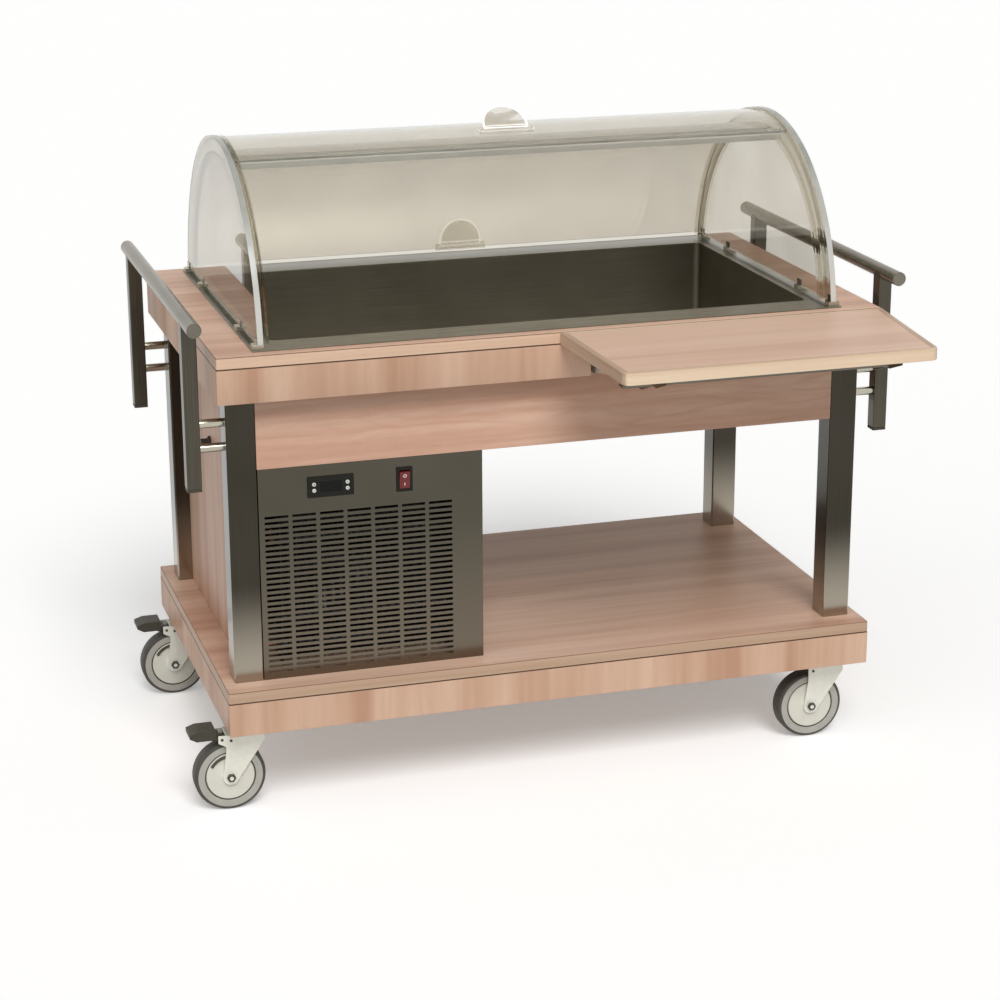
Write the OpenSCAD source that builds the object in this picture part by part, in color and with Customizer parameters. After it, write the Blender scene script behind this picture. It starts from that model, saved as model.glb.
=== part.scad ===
// Refrigerated serving trolley with a roll-top dome, a drop leaf and four swivel casters.
// X runs along the length, the drop leaf hangs at the front (-Y) and Z is up from the floor.

/* [Boards] */
// Border of the boards beyond the well opening at the ends
end_border = 106; // [98:1:150]
// Border of the boards beyond the well opening at the front and back
side_border = 85.5; // [80:0.5:120]
// Thickness of the deck, top and leaf boards
board_t = 20; // [18:1:24]
// Corner radius of the boards
board_r = 4; // [2:1:8]
// Height of the top board's upper face
top_z = 820; // [800:5:860]
// Height of the edge boards under the deck
deck_rail_h = 60; // [50:5:70]
// Height of the edge boards under the top
top_rail_h = 60; // [56:2:70]
// Thickness of the edge boards
rail_t = 20; // [18:1:22]

/* [Legs and aprons] */
// Width of the square leg tube
leg_w = 50; // [40:1:54]
// Wall of the leg tube
leg_wall = 2; // [1.5:0.5:3]
// Leg face behind the front and back edges of the boards
leg_in = 44.5; // [42:0.5:50]
// Height of the aprons between the legs
apron_h = 188; // [176:2:220]
// Thickness of the aprons
apron_t = 18; // [15:1:20]
// Thickness of the wooden panel on the left
side_t = 18; // [12:1:20]
// Outer face of the left panel, in from the outer leg face
side_in = 28; // [22:1:30]

/* [Cold well] */
// Length of the well opening
well_l = 968; // [900:4:980]
// Width of the well opening
well_w = 524; // [480:4:530]
// Depth of the well
well_h = 150; // [100:5:160]
// Corner radius of the well
well_r = 12; // [8:1:20]
// Wall of the steel well
well_t = 1.5; // [1:0.5:2]
// Width of the steel rim at the ends of the well
rim_end = 41; // [38:0.5:50]
// Width of the steel rim at the front and back of the well
rim_side = 63; // [58:0.5:68]
// Thickness of the steel rim
rim_t = 2; // [1.5:0.5:3]
// Foam beyond the ends of the well, below the top board
foam_t = 20; // [16:1:20]

/* [Dome] */
// Rim left free in front of and behind the end panels
dome_edge = 3; // [2:0.5:8]
// Height of the dome's axis
dome_z = 800; // [795:1:806]
// Rim left free beyond the end panels
dome_end = 10; // [6:0.5:12]
// Thickness of the end panels and of the guides on them
panel_t = 10; // [8:1:12]
// Height of the clips that the end panels stand on
clip_h = 8; // [6:1:9]
// Thickness of the two covers
cover_t = 4; // [3:0.5:5]
// Gap between the outer cover and the end panel's edge
cover_in = 3; // [2.5:0.5:4]
// Radial step from the outer cover to the inner one
cover_step = 24; // [23:1:28]
// Side of the square bar along each cover's front edge
edge_bar = 14; // [10:1:16]
// Angle that each cover turns through when it opens
cover_turn = 62; // [40:1:62]
// Width of the finger handles
grip_w = 81; // [60:1:100]
// Length of the finger handles
grip_l = 52; // [46:1:56]
// Thickness of the finger handles
grip_t = 4; // [3:0.5:4.5]

/* [Drop leaf] */
// Depth of the leaf
leaf_d = 294; // [260:2:300]
// Length of the leaf at its hinges
leaf_l = 592; // [560:4:620]
// Gap between the leaf and the top board
leaf_gap = 1; // [1:0.5:2]
// How far the leaf's left edge runs in towards the front
leaf_taper_l = 10; // [0:1:30]
// How far the leaf's right edge runs in towards the front
leaf_taper_r = 34; // [0:1:40]
// Radius of the leaf's front corners
leaf_r = 14; // [8:1:20]
// Outer radius of the hinge knuckles
knuckle_r = 3.5; // [3:0.5:4]
// Height of the bracket arms
arm_h = 22; // [20:1:22]
// Width of the bracket arms
arm_w = 28; // [26:1:32]
// Wall of the bracket arms
arm_t = 2; // [1.5:0.5:2.5]
// Where the brace meets the arm, forward of the board's edge
brace_at = 200; // [160:5:210]
// Height of the brace
brace_h = 14; // [12:1:16]
// Thickness of the brace
brace_t = 10; // [8:1:12]
// Thickness of the cross flats under the leaf
flat_t = 5; // [4:0.5:6]
// Width of the cross flats under the leaf
flat_w = 20; // [16:1:25]

/* [Push handles] */
// Length of the push tubes
push_l = 690; // [640:5:695]
// Diameter of the push tubes and width of their uprights
push_w = 25; // [20:1:30]
// Height of the push tubes
push_z = 868; // [850:2:900]
// Height of the uprights' lower ends
upright_z = 583.5; // [560:0.5:620]
// Gap between the uprights and the outer leg faces
push_out = 40.5; // [38:0.5:50]
// Diameter of the spacer rods
rod_d = 15; // [10:1:18]
// Height of the lower spacer rods
rod_z = 651; // [640:1:660]
// Distance between the two rods of an upright
rod_step = 42; // [30:1:44]

/* [Cooling unit] */
// Length of the cooling unit's front
unit_l = 392; // [388:2:440]
// Thickness of its sheet metal
sheet_t = 1.5; // [1:0.5:2]
// Length of a grille slot
slot_l = 41; // [30:1:42]
// Height of a grille slot
slot_h = 4.5; // [3:0.5:5]
// Number of slots across
slots_x = 7; // [5:1:7]
// Number of slots up
slots_z = 29; // [20:1:29]
// Distance between the columns of slots
slot_dx = 47.8; // [45:0.1:48]
// Distance between the rows of slots
slot_dz = 9.9; // [8:0.1:10]
// Radius of the compressor
comp_r = 68; // [60:1:75]
// Height of the compressor's shell
comp_h = 165; // [150:5:190]
// Radius of the fan
fan_r = 92; // [80:1:95]
// Outer radius of the copper pipes
pipe_r = 4; // [3:0.5:4.5]
// Outer radius of the drain pipe
drain_r = 12; // [10:1:14]

/* [Controls] */
// Width of the controller's frame
ctrl_w = 80; // [74:1:90]
// Height of the controller's frame
ctrl_h = 36; // [34:1:40]
// Height of the controls
ctrl_z = 573; // [560:1:580]
// Radius of the controller's buttons
button_r = 3.4; // [3:0.1:4]
// Travel of the controller's buttons
button_travel = 0.8; // [0.5:0.1:0.9]
// Width of the switch frame
switch_w = 28; // [26:1:34]
// Height of the switch frame
switch_h = 43; // [40:1:46]

/* [Casters] */
// Height of the casters
caster_h = 155; // [150:1:165]
// Radius of the wheels
wheel_r = 62.5; // [58:0.5:63]
// Width of the tyres
tyre_w = 32; // [28:1:34]
// Inner radius of the tyres
tyre_in = 42; // [38:1:46]
// Distance from the swivel axis back to the axle
trail = 40; // [36:1:42]
// Swivel axes, in from the ends of the deck
caster_in_x = 47; // [46:1:60]
// Swivel axes, in from the front and back of the deck
caster_in_y = 66.5; // [60:0.5:80]
// Thickness of the fork's sheet
fork_t = 3; // [2:0.5:4]
// Radius of the axles and pins
pin_r = 4; // [3:0.5:5]
// Reach of the brake pedals from the swivel axis
pedal_l = 109; // [95:1:115]

/* [Hidden] */
$fn = 32;
wood = "#c8a591";
steel = "#77736a";
zinc = "#c3c3b4";
acrylic = [0.85, 0.87, 0.84, 0.35];
black = "#232323";
big_fn = 180;

// Clearances
glue = 0.2;         // joint line between pieces of one node
air = 0.3;          // between pieces that pass each other
run = 0.05;         // radial clearance of pins in their bores
press = 0.1;        // radial clearance of the buttons in their pockets
groove_air = 0.4;   // between a cover and its groove
eps = 1;            // how far a cut runs past a face

// Levels and faces, from the floor and the centre of the deck
board_l = well_l + 2 * end_border;
board_d = well_w + 2 * side_border;
deck_z0 = caster_h + deck_rail_h;
deck_top = deck_z0 + board_t;
top_z0 = top_z - board_t;
rim_z = top_z + rim_t;
half_l = board_l / 2;
half_d = board_d / 2;
leg_x = half_l - rail_t - leg_w / 2;
leg_y = half_d - leg_in - leg_w / 2;
leg_face_x = leg_x + leg_w / 2;
leg_face_y = leg_y + leg_w / 2;
leg_in_x = leg_x - leg_w / 2;
leg_in_y = leg_y - leg_w / 2;
apron_z = top_z0 - apron_h;
side_x = leg_face_x - side_in;
gland_r = 7;
gland_y = 4;
gland_z = 578;

// Push handles
push_x = leg_face_x + push_out + push_w / 2;
push_face = push_x + push_w / 2;
cap_h = 5;

// Drop leaf, its hinge axis and its brackets
leaf_back = -half_d - leaf_gap;
leaf_front = leaf_back - leaf_d;
leaf_right = half_l;
leaf_left = leaf_right - leaf_l;
hinge_y = -half_d - knuckle_r - 0.5;
hinge_z = top_z0 - knuckle_r;
hinge_t = 1.5;
hinge_w = 50;
hinge_l = 30;
hinge_pin_r = 2;
mid_knuckle = 20;
outer_knuckle = (hinge_w - mid_knuckle - 1) / 2;
hinge_in_l = 132;
hinge_in_r = 58;
hinge_x = [leaf_left + hinge_in_l, leaf_left + leaf_l / 2, leaf_right - hinge_in_r];
arm_in_l = 71;
arm_in_r = 110;
arm_x = [leaf_left + arm_in_l, leaf_right - arm_in_r];
arm_back = leaf_back - 10;
arm_front = leaf_front + 6;
arm_taper = leaf_front + 52;
flat_left = leaf_left + 10;
flat_step = 144;
flat_y = [arm_front + flat_w / 2, arm_front + flat_w / 2 + flat_step];
notch_w = arm_w + 4;
notch_top = hinge_z - 5;
bracket_y = -half_d + 9.5;
bracket_z = top_z0 - 50;
ear_t = 2;
ear_h = 16;
bracket_w = 40;
bracket_h = 24;
brace_y = -half_d - brace_at;
brace_z = top_z0 - arm_t - air - brace_h / 2;
brace_l = norm([brace_y - bracket_y, brace_z - bracket_z]);
brace_lean = atan2(brace_z - bracket_z, bracket_y - brace_y);

// Casters
caster_x = half_l - caster_in_x;
caster_y = half_d - caster_in_y;
plate_t = 4;
plate_l = 90;
plate_w = 80;
race_r = 30;
race_h = 9.5;
fork_top = caster_h - plate_t - race_h - air;
fork_in = tyre_w / 2 + 3;
fork_out = fork_in + fork_t;
fork_back = trail + 7;
fork_front = 21;
ear_back = trail + 20;
ear_low = 14;
eye_r = 14;
king_r = 8;
pedal_w = 34;
tread_w = 42;
tread_low = 3;
tread_top = 21.5;
pedal_hub_r = 6;
pedal_pivot_z = wheel_r * 2 + pedal_hub_r + 0.7;

// The model's origin is under the middle of the whole trolley
x_left = -max(push_face, caster_x + pedal_l);
mid_x = (x_left + push_face) / 2;
mid_y = (leaf_front + max(half_d, push_l / 2)) / 2;

// Cooling unit
unit_x0 = -leg_in_x + 1;
unit_x1 = unit_x0 + unit_l;
unit_y = -leg_face_y + 1;
unit_mid = (unit_x0 + unit_x1) / 2;
flange = 16;
grille_in = 9.5;
grille_x = unit_x0 + grille_in;
grille_z = deck_top + grille_in + 2;
unit_back = leg_face_y - 3;
louvres = 12;
louvre_in = 160;
louvre_dz = 22;
louvre_h = 8;
ctrl_in = 124.6;
switch_in = 253.5;
ctrl_x = unit_x0 + ctrl_in;
switch_x = unit_x0 + switch_in;
button_dx = 29;
button_dz = 5.4;
button_out = 1;
button_l = 3;
ctrl_d = 55;
switch_d = 26;
bezel_t = 3;
lip = 3;
screen_w = 38;
screen_h = 19;
screen_in = 0.8;
pocket_y = unit_y - bezel_t + button_l - button_out + button_travel + air;
rocker_w = 18;
rocker_h = 30;
rocker_tilt = 6;
rocker_pin_l = rocker_w + 2;
comp_x = unit_mid + 70;
comp_y = 120;
foot_h = 16;
cond_l = 300;
cond_h = 240;
cond_d = 44;
cond_y = unit_y + 60;
fan_y = cond_y + cond_d + 30;
fan_z = deck_top + 8 + cond_h / 2;
strap_y = fan_y + 30;
strap_t = 3;
shaft_r = 4;
motor_r = 32;
motor_l = 55;
hub_r = 20;
hub_h = 24;
blade_w = 32;
blade_t = 2;
drier_r = 14;
comp_top = deck_top + foot_h + 3 + comp_h;
cond_low = deck_top + 8 + cond_h / 10;
cond_high = deck_top + 8 + cond_h * 0.9;
cond_end = unit_mid - cond_l / 2 - 6;
liquid_x = cond_end - 20;
drier_up = 60;
drier_l = 110;
rocker_y = unit_y + 3;

// Well and foam
well_z0 = rim_z - well_h - well_t;
foam_z0 = apron_z + 28;
foam_x = well_l / 2 + well_t + foam_t;
foam_y = leg_face_y - apron_t - 1.5;
rim_l = well_l + 2 * rim_end;
rim_w = well_w + 2 * rim_side;
cut_gap = 14;
cut_l = well_l + 2 * (cut_gap + well_t);
cut_w = well_w + 2 * (cut_gap + well_t);
evap_r = 4.5;
evap_z = well_z0 - air - evap_r;
evap_l = well_l / 2 - 90;
evap_runs = 8;
evap_in = 52;
evap_dy = (well_w - 2 * evap_in) / (evap_runs - 1);
evap_y0 = -well_w / 2 + evap_in;
evap_ends = [[-evap_l, evap_y0], [-evap_l, -evap_y0]];
drain_x = -well_l / 2 + 40;
drain_y = 120;
drain_z = apron_z - 20;

// Dome covers, angles forward of the crest
dome_r = rim_w / 2 - dome_edge;
dome_l = rim_l - 2 * dome_end;
outer_r = dome_r - cover_in;
inner_r = outer_r - cover_step;
guide_r = inner_r - cover_t - 6;
panel_z = rim_z + clip_h;
guide_x = dome_l / 2 - panel_t;
groove_h = 8;
sheet_x = guide_x - panel_t + groove_h - groove_air;
bar_x = guide_x - panel_t - 1;
shut_front = 82.5;
shut_rear = 70;
front_edge = shut_front - cover_turn;
rear_edge = shut_rear - cover_turn;
low_edge = -84;
clip_d = 18;
clip_y = [dome_r - 14, well_w / 2 - 90];
front_grip_at = front_edge - 12.5;
front_grip_x = -3.5;
rear_grip_at = -82;
rear_grip_x = 6.5;
front_lean = 35;
rear_lean = 8;
grip_base_w = 100;
grip_base_d = 14;

// Puts a piece in its place in the model's frame, in its colour
module placed(c) color(c) translate([-mid_x, -mid_y, 0]) children();

module rounded_rect(l, d, r) {
    square([l - 2 * r, d], center = true);
    square([l, d - 2 * r], center = true);
    for (x = [-1, 1], y = [-1, 1])
        translate([x * (l / 2 - r), y * (d / 2 - r)]) circle(r);
}

module slab(l, d, t, r) linear_extrude(t) rounded_rect(l, d, r);

module block(x, y, z) translate([x[0], y[0], z[0]]) cube([x[1] - x[0], y[1] - y[0], z[1] - z[0]]);

// Extrudes an outline drawn in Y and Z along X
module along_x(x0, length) translate([x0, 0, 0]) rotate([90, 0, 90]) linear_extrude(length) children();

// A rod along X, Y or Z between two levels of that axis
module rod_x(x, y, z, r) translate([x[0], y, z]) rotate([0, 90, 0]) cylinder(h = x[1] - x[0], r = r);
module rod_y(x, y, z, r) translate([x, y[1], z]) rotate([90, 0, 0]) cylinder(h = y[1] - y[0], r = r);
module rod_z(x, y, z, r) translate([x, y, z[0]]) cylinder(h = z[1] - z[0], r = r);

module corners(x, y) for (sx = [-1, 1], sy = [-1, 1]) translate([sx * x, sy * y, 0]) children();

// Wooden boards

module deck_panel() placed(wood) translate([0, 0, deck_z0]) slab(board_l, board_d, board_t, board_r);

module long_board(side, z) block([-half_l, half_l], side > 0 ? [half_d - rail_t, half_d]
    : [-half_d, -half_d + rail_t], z);

module end_board(side, z) block(side > 0 ? [half_l - rail_t, half_l] : [-half_l, -half_l + rail_t],
    [-half_d + rail_t + glue, half_d - rail_t - glue], z);

module deck_rails() placed(wood) {
    long_board(-1, [caster_h, deck_z0]);
    long_board(1, [caster_h, deck_z0]);
    end_board(-1, [caster_h, deck_z0]);
    end_board(1, [caster_h, deck_z0]);
}

module caster_blocks() placed(wood)
    corners(half_l - rail_t - plate_l / 2 - 5, half_d - rail_t - plate_w / 2 - 10)
        translate([0, 0, (caster_h + deck_z0) / 2])
            cube([plate_l + 10 - glue, plate_w + 20 - glue, deck_rail_h], center = true);

module legs() placed(steel) corners(leg_x, leg_y) {
    translate([0, 0, deck_top]) linear_extrude(top_z0 - deck_top) difference() {
        rounded_rect(leg_w, leg_w, 3);
        square(leg_w - 2 * leg_wall, center = true);
    }
    translate([0, 0, deck_top]) slab(leg_w - leg_wall, leg_w - leg_wall, 4, 1);
}

module top_panel() placed(wood) translate([0, 0, top_z0]) difference() {
    slab(board_l, board_d, board_t, board_r);
    translate([0, 0, -eps]) slab(cut_l, cut_w, board_t + 2 * eps, well_r);
}

module top_front_rail() placed(wood) difference() {
    long_board(-1, [top_z0 - top_rail_h, top_z0]);
    for (x = arm_x)
        block([x - notch_w / 2, x + notch_w / 2], [-half_d - eps, -half_d + rail_t + eps],
            [top_z0 - top_rail_h - eps, notch_top]);
}

module top_rails() placed(wood) {
    long_board(1, [top_z0 - top_rail_h, top_z0]);
    end_board(-1, [top_z0 - top_rail_h, top_z0]);
    end_board(1, [top_z0 - top_rail_h, top_z0]);
}

module front_apron() placed(wood)
    block([-leg_in_x, leg_in_x], [-leg_face_y, -leg_face_y + apron_t], [apron_z, top_z0]);

module aprons() placed(wood) {
    block([-leg_in_x, leg_in_x], [leg_face_y - apron_t, leg_face_y], [apron_z, top_z0]);
    block([leg_face_x - apron_t, leg_face_x], [-leg_in_y, leg_in_y], [apron_z, top_z0]);
}

module left_side_panel() placed(wood) difference() {
    block([-side_x, -side_x + side_t], [-leg_in_y, leg_in_y], [deck_top, top_z0]);
    rod_x([-side_x - eps, -side_x + side_t + eps], gland_y, gland_z, gland_r + glue);
}

// Cord gland on the left panel

module cord_gland() placed(black) {
    rod_x([-side_x - 5, -side_x], gland_y, gland_z, gland_r + 4, $fn = 6);
    rod_x([-side_x - 18, -side_x + side_t + 8], gland_y, gland_z, gland_r);
}

// Cold well

module well_rim() placed(steel) translate([0, 0, top_z]) difference() {
    slab(rim_l, rim_w, rim_t, 3);
    translate([0, 0, -eps]) slab(well_l, well_w, rim_t + 2 * eps, well_r);
}

module well() placed(steel) difference() {
    translate([0, 0, well_z0])
        slab(well_l + 2 * well_t, well_w + 2 * well_t, top_z - well_z0, well_r + well_t);
    translate([0, 0, well_z0 + well_t]) slab(well_l, well_w, well_h, well_r);
    rod_z(drain_x, drain_y, [well_z0 - eps, well_z0 + well_t + eps], drain_r - 2);
}

module insulation() placed("#d9c894") difference() {
    union() {
        block([-foam_x, foam_x], [-foam_y, foam_y], [foam_z0, top_z0]);
        translate([0, 0, foam_z0]) slab(cut_l - 1, cut_w - 1, top_z - foam_z0, well_r);
    }
    translate([0, 0, well_z0])
        slab(well_l + 2 * well_t + glue, well_w + 2 * well_t + glue, well_h + 5, well_r + well_t);
    block([-evap_l - 50, evap_l + 50], [evap_y0 - 40, 40 - evap_y0], [evap_z - evap_r - 2, well_z0 + eps]);
    rod_z(drain_x, drain_y, [foam_z0 - eps, well_z0 + eps], drain_r + 0.5);
    for (x = evap_ends) rod_z(x[0], x[1], [foam_z0 - eps, well_z0], pipe_r + 1.5);
}

module evaporator() placed("#b87333") translate([0, 0, evap_z]) {
    for (i = [0:evap_runs - 1]) rod_x([-evap_l, evap_l], evap_y0 + i * evap_dy, 0, evap_r);
    for (i = [0:evap_runs - 2])
        translate([i % 2 == 0 ? evap_l : -evap_l, evap_y0 + (i + 0.5) * evap_dy, 0])
            rotate([0, 0, i % 2 == 0 ? -90 : 90])
                rotate_extrude(angle = 180) translate([evap_dy / 2, 0]) circle(evap_r);
}

module drain_pipe() placed("#c9c9c4") {
    difference() {
        union() {
            rod_z(drain_x, drain_y, [drain_z, well_z0], drain_r);
            translate([drain_x, drain_y, drain_z]) sphere(drain_r);
            rod_y(drain_x, [drain_y, unit_back + 14], drain_z, drain_r);
        }
        rod_z(drain_x, drain_y, [drain_z, well_z0 + eps], drain_r - 2);
        rod_y(drain_x, [drain_y, unit_back + 12], drain_z, drain_r - 2);
    }
}

// Dome

module above(z) intersection() {
    children();
    translate([0, 0, z + dome_r]) cube([2 * dome_l, 4 * dome_r, 2 * dome_r], center = true);
}

// A band round the dome's axis, between two radii, two levels of X and two angles
module band(r0, r1, x0, x1, from, to) translate([0, 0, dome_z]) rotate([90, 0, 90])
    rotate([0, 0, 90 + from]) rotate_extrude(angle = to - from, $fn = big_fn)
        translate([r0, x0]) square([r1 - r0, x1 - x0]);

module ring(r0, r1, x0, x1) translate([0, 0, dome_z]) rotate([90, 0, 90])
    rotate_extrude($fn = big_fn) translate([r0, x0]) square([r1 - r0, x1 - x0]);

// A local frame on the dome: X as before, Y back along the surface, Z outwards
module on_dome(angle, r) translate([0, 0, dome_z]) rotate([angle, 0, 0]) translate([0, 0, r]) children();

module end_panel(x0) above(panel_z)
    translate([x0, 0, dome_z]) rotate([0, 90, 0]) cylinder(h = panel_t, r = dome_r, $fn = big_fn);

module end_panels() placed(acrylic) {
    end_panel(guide_x);
    end_panel(-guide_x - panel_t);
}

module groove(r, x0) ring(r - cover_t - groove_air, r + groove_air, x0, x0 + groove_h + eps);

module guide() difference() {
    above(panel_z) ring(guide_r, dome_r - 0.5, guide_x - panel_t, guide_x);
    translate([-eps, 0, 0]) groove(outer_r, guide_x - panel_t);
    translate([-eps, 0, 0]) groove(inner_r, guide_x - panel_t);
}

module cover_guides() placed(acrylic) {
    translate([-glue, 0, 0]) guide();
    mirror([1, 0, 0]) translate([-glue, 0, 0]) guide();
}

// Steel angle clips under the feet of the end panels
module clip(side, y) {
    block(side > 0 ? [guide_x - 2, dome_l / 2 + 8] : [-dome_l / 2 - 8, -guide_x + 2],
        [y - clip_d / 2, y + clip_d / 2], [rim_z, panel_z]);
    block(side > 0 ? [dome_l / 2 + air, dome_l / 2 + 2] : [-dome_l / 2 - 2, -dome_l / 2 - air],
        [y - clip_d / 2, y + clip_d / 2], [rim_z, panel_z + 10]);
}

module panel_clips() placed(steel) for (side = [-1, 1], end = [-1, 1], y = clip_y) clip(side, end * y);

module cover(r, from, to) band(r - cover_t, r, -sheet_x, sheet_x, from, to);

module edge_bar_at(r, edge) translate([0, 0, dome_z]) rotate([edge, 0, 0])
    translate([-bar_x, 0, r - cover_t - edge_bar - glue]) cube([2 * bar_x, edge_bar, edge_bar - 0.2]);

// A finger handle: a foot strip with two screws and a leaning plate with a round end
module grip(lean) {
    translate([-grip_base_w / 2, -grip_base_d / 2, 0]) cube([grip_base_w, grip_base_d, grip_t]);
    rotate([lean, 0, 0]) linear_extrude(grip_t) {
        translate([-grip_w / 2, 0]) square([grip_w, grip_l - grip_w / 2]);
        intersection() {
            translate([0, grip_l - grip_w / 2]) circle(grip_w / 2, $fn = 64);
            translate([-grip_w / 2, 0]) square([grip_w, grip_l]);
        }
    }
    for (x = [-1, 1]) translate([x * (grip_base_w / 2 - 4.5), 0, grip_t]) cylinder(h = 1.5, r = 3);
}

module front_cover() placed(acrylic) cover(outer_r, low_edge, front_edge);
module front_cover_bar() placed(acrylic) edge_bar_at(outer_r, front_edge);
module front_cover_handle() placed(acrylic) translate([front_grip_x, 0, 0])
    on_dome(front_grip_at, outer_r) grip(front_lean);
module rear_cover() placed(acrylic) cover(inner_r, low_edge, rear_edge);
module rear_cover_bar() placed(acrylic) edge_bar_at(inner_r, rear_edge);
module rear_cover_handle() placed(acrylic) translate([rear_grip_x, 0, 0])
    on_dome(rear_grip_at, inner_r) rotate([0, 0, 180]) grip(rear_lean);

// Drop leaf and its brackets

// Points of a rounded corner, from one direction to the next
function corner(c, r, from, to) = [for (i = [0:8])
    let (a = from + (to - from) * i / 8) c + r * [cos(a), sin(a)]];

module leaf() placed(wood) translate([0, 0, top_z0]) linear_extrude(board_t) polygon(concat(
    [[leaf_right, leaf_back], [leaf_left, leaf_back]],
    corner([leaf_left + leaf_taper_l + leaf_r, leaf_front + leaf_r], leaf_r, 180, 270),
    corner([leaf_right - leaf_taper_r - leaf_r, leaf_front + leaf_r], leaf_r, 270, 360)));

module hinge_fixed_leaves() placed(steel) for (x = hinge_x) {
    block([x - hinge_w / 2, x + hinge_w / 2], [-half_d - hinge_t, -half_d],
        [hinge_z - hinge_l, hinge_z - knuckle_r - air]);
    block([x - mid_knuckle / 2, x + mid_knuckle / 2], [-half_d - hinge_t, -half_d],
        [hinge_z - hinge_l, hinge_z]);
    rod_x([x - mid_knuckle / 2, x + mid_knuckle / 2], hinge_y, hinge_z, knuckle_r);
    rod_x([x - hinge_w / 2, x + hinge_w / 2], hinge_y, hinge_z, hinge_pin_r);
}

module hinge_moving_leaves() placed(steel) for (x = hinge_x) difference() {
    union() {
        block([x - hinge_w / 2, x + hinge_w / 2], [hinge_y - hinge_l, hinge_y - knuckle_r - air],
            [top_z0 - hinge_t, top_z0]);
        for (side = [-1, 1]) translate([x + side * (hinge_w - outer_knuckle) / 2, 0, 0]) {
            block([-outer_knuckle / 2, outer_knuckle / 2], [hinge_y - knuckle_r - 1, hinge_y],
                [top_z0 - hinge_t, top_z0]);
            rod_x([-outer_knuckle / 2, outer_knuckle / 2], hinge_y, hinge_z, knuckle_r);
        }
    }
    rod_x([x - hinge_w, x + hinge_w], hinge_y, hinge_z, hinge_pin_r + run);
}

// Channels that taper towards the front edge, with two cross flats between them and the left edge
module leaf_arms() placed(steel) {
    for (x = arm_x) difference() {
        along_x(x - arm_w / 2, arm_w) polygon([[arm_back, top_z0], [arm_front, top_z0],
            [arm_front, top_z0 - flat_t], [arm_taper, top_z0 - arm_h], [arm_back, top_z0 - arm_h]]);
        block([x - arm_w / 2 + arm_t, x + arm_w / 2 - arm_t], [arm_front - eps, arm_back + eps],
            [top_z0 - arm_h - eps, top_z0 - arm_t]);
    }
    for (y = flat_y, x = [[flat_left, arm_x[0] - arm_w / 2 - glue],
        [arm_x[0] + arm_w / 2 + glue, arm_x[1] - arm_w / 2 - glue]])
        block(x, [y - flat_w / 2, y + flat_w / 2], [top_z0 - flat_t, top_z0]);
}

module wall_brackets() placed(steel) for (x = arm_x) {
    block([x - bracket_w / 2, x + bracket_w / 2], [-leg_face_y - ear_t, -leg_face_y],
        [bracket_z - bracket_h / 2, bracket_z + bracket_h / 2]);
    for (side = [-1, 1]) translate([x + side * (brace_t / 2 + air + ear_t / 2), 0, 0])
        block([-ear_t / 2, ear_t / 2], [bracket_y - 6, -leg_face_y],
            [bracket_z - ear_h / 2, bracket_z + ear_h / 2]);
    rod_x([x - brace_t / 2 - ear_t - 2, x + brace_t / 2 + ear_t + 2], bracket_y, bracket_z, pin_r);
}

module brace(x) placed(zinc) translate([x - brace_t / 2, bracket_y, bracket_z]) rotate([-brace_lean, 0, 0])
    rotate([90, 0, 90]) linear_extrude(brace_t) difference() {
        union() {
            translate([-brace_l, -brace_h / 2]) square([brace_l, brace_h]);
            circle(brace_h / 2);
            translate([-brace_l, 0]) circle(brace_h / 2);
        }
        circle(pin_r + run);
    }

module brace_left() brace(arm_x[0]);
module brace_right() brace(arm_x[1]);

// Push handles

module push_handle() {
    difference() {
        union() {
            rod_y(push_x, [-push_l / 2, push_l / 2], push_z, push_w / 2);
            for (y = [-leg_y, leg_y]) translate([push_x, y, upright_z])
                slab(push_w, push_w, push_z - upright_z, 1.5);
        }
        rod_y(push_x, [-push_l / 2 + 2, push_l / 2 - 2], push_z, push_w / 2 - 1.5);
    }
    for (y = [-leg_y, leg_y], z = [rod_z, rod_z + rod_step])
        rod_x([leg_face_x, push_face - push_w], y, z, rod_d / 2);
}

module push_handles() placed(steel) {
    push_handle();
    mirror([1, 0, 0]) push_handle();
}

module handle_caps() placed(black) corners(push_x, leg_y)
    translate([0, 0, upright_z - cap_h]) slab(push_w, push_w, cap_h, 1.5);

// Casters

module at_caster(side_x, side_y) translate([side_x * caster_x, side_y * caster_y, 0]) children();

module caster_plates() placed(zinc) corners(caster_x, caster_y) difference() {
    union() {
        translate([0, 0, caster_h - plate_t]) slab(plate_l, plate_w, plate_t, 5);
        rod_z(0, 0, [caster_h - plate_t - race_h, caster_h], race_r);
        corners(plate_l / 2 - 10, plate_w / 2 - 10)
            rod_z(0, 0, [caster_h - plate_t - 4.5, caster_h], 7, $fn = 6);
    }
    rod_z(0, 0, [caster_h - plate_t - race_h - eps, caster_h - plate_t], king_r + run);
}

// Where a line from point p touches a circle round c
function touch(c, r, p, side) = let (d = p - c, a = atan2(d.y, d.x) + side * acos(r / norm(d)))
    c + r * [cos(a), sin(a)];

// A cheek of a fork, with an ear behind at the top if it carries a pedal
module cheek(braked) {
    axle = [-trail, wheel_r];
    polygon([[-fork_back, fork_top], [fork_front, fork_top], [fork_front, fork_top - 14],
        touch(axle, eye_r, [fork_front, fork_top - 14], -1), axle,
        touch(axle, eye_r, [-fork_back, fork_top - 30], 1), [-fork_back, fork_top - 30]]);
    translate(axle) circle(eye_r);
    if (braked) polygon([[-trail, fork_top], [-ear_back, fork_top], [-ear_back, fork_top - ear_low],
        [-fork_back, fork_top - 1.5 * ear_low], [-trail, fork_top - 1.5 * ear_low]]);
}

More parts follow.
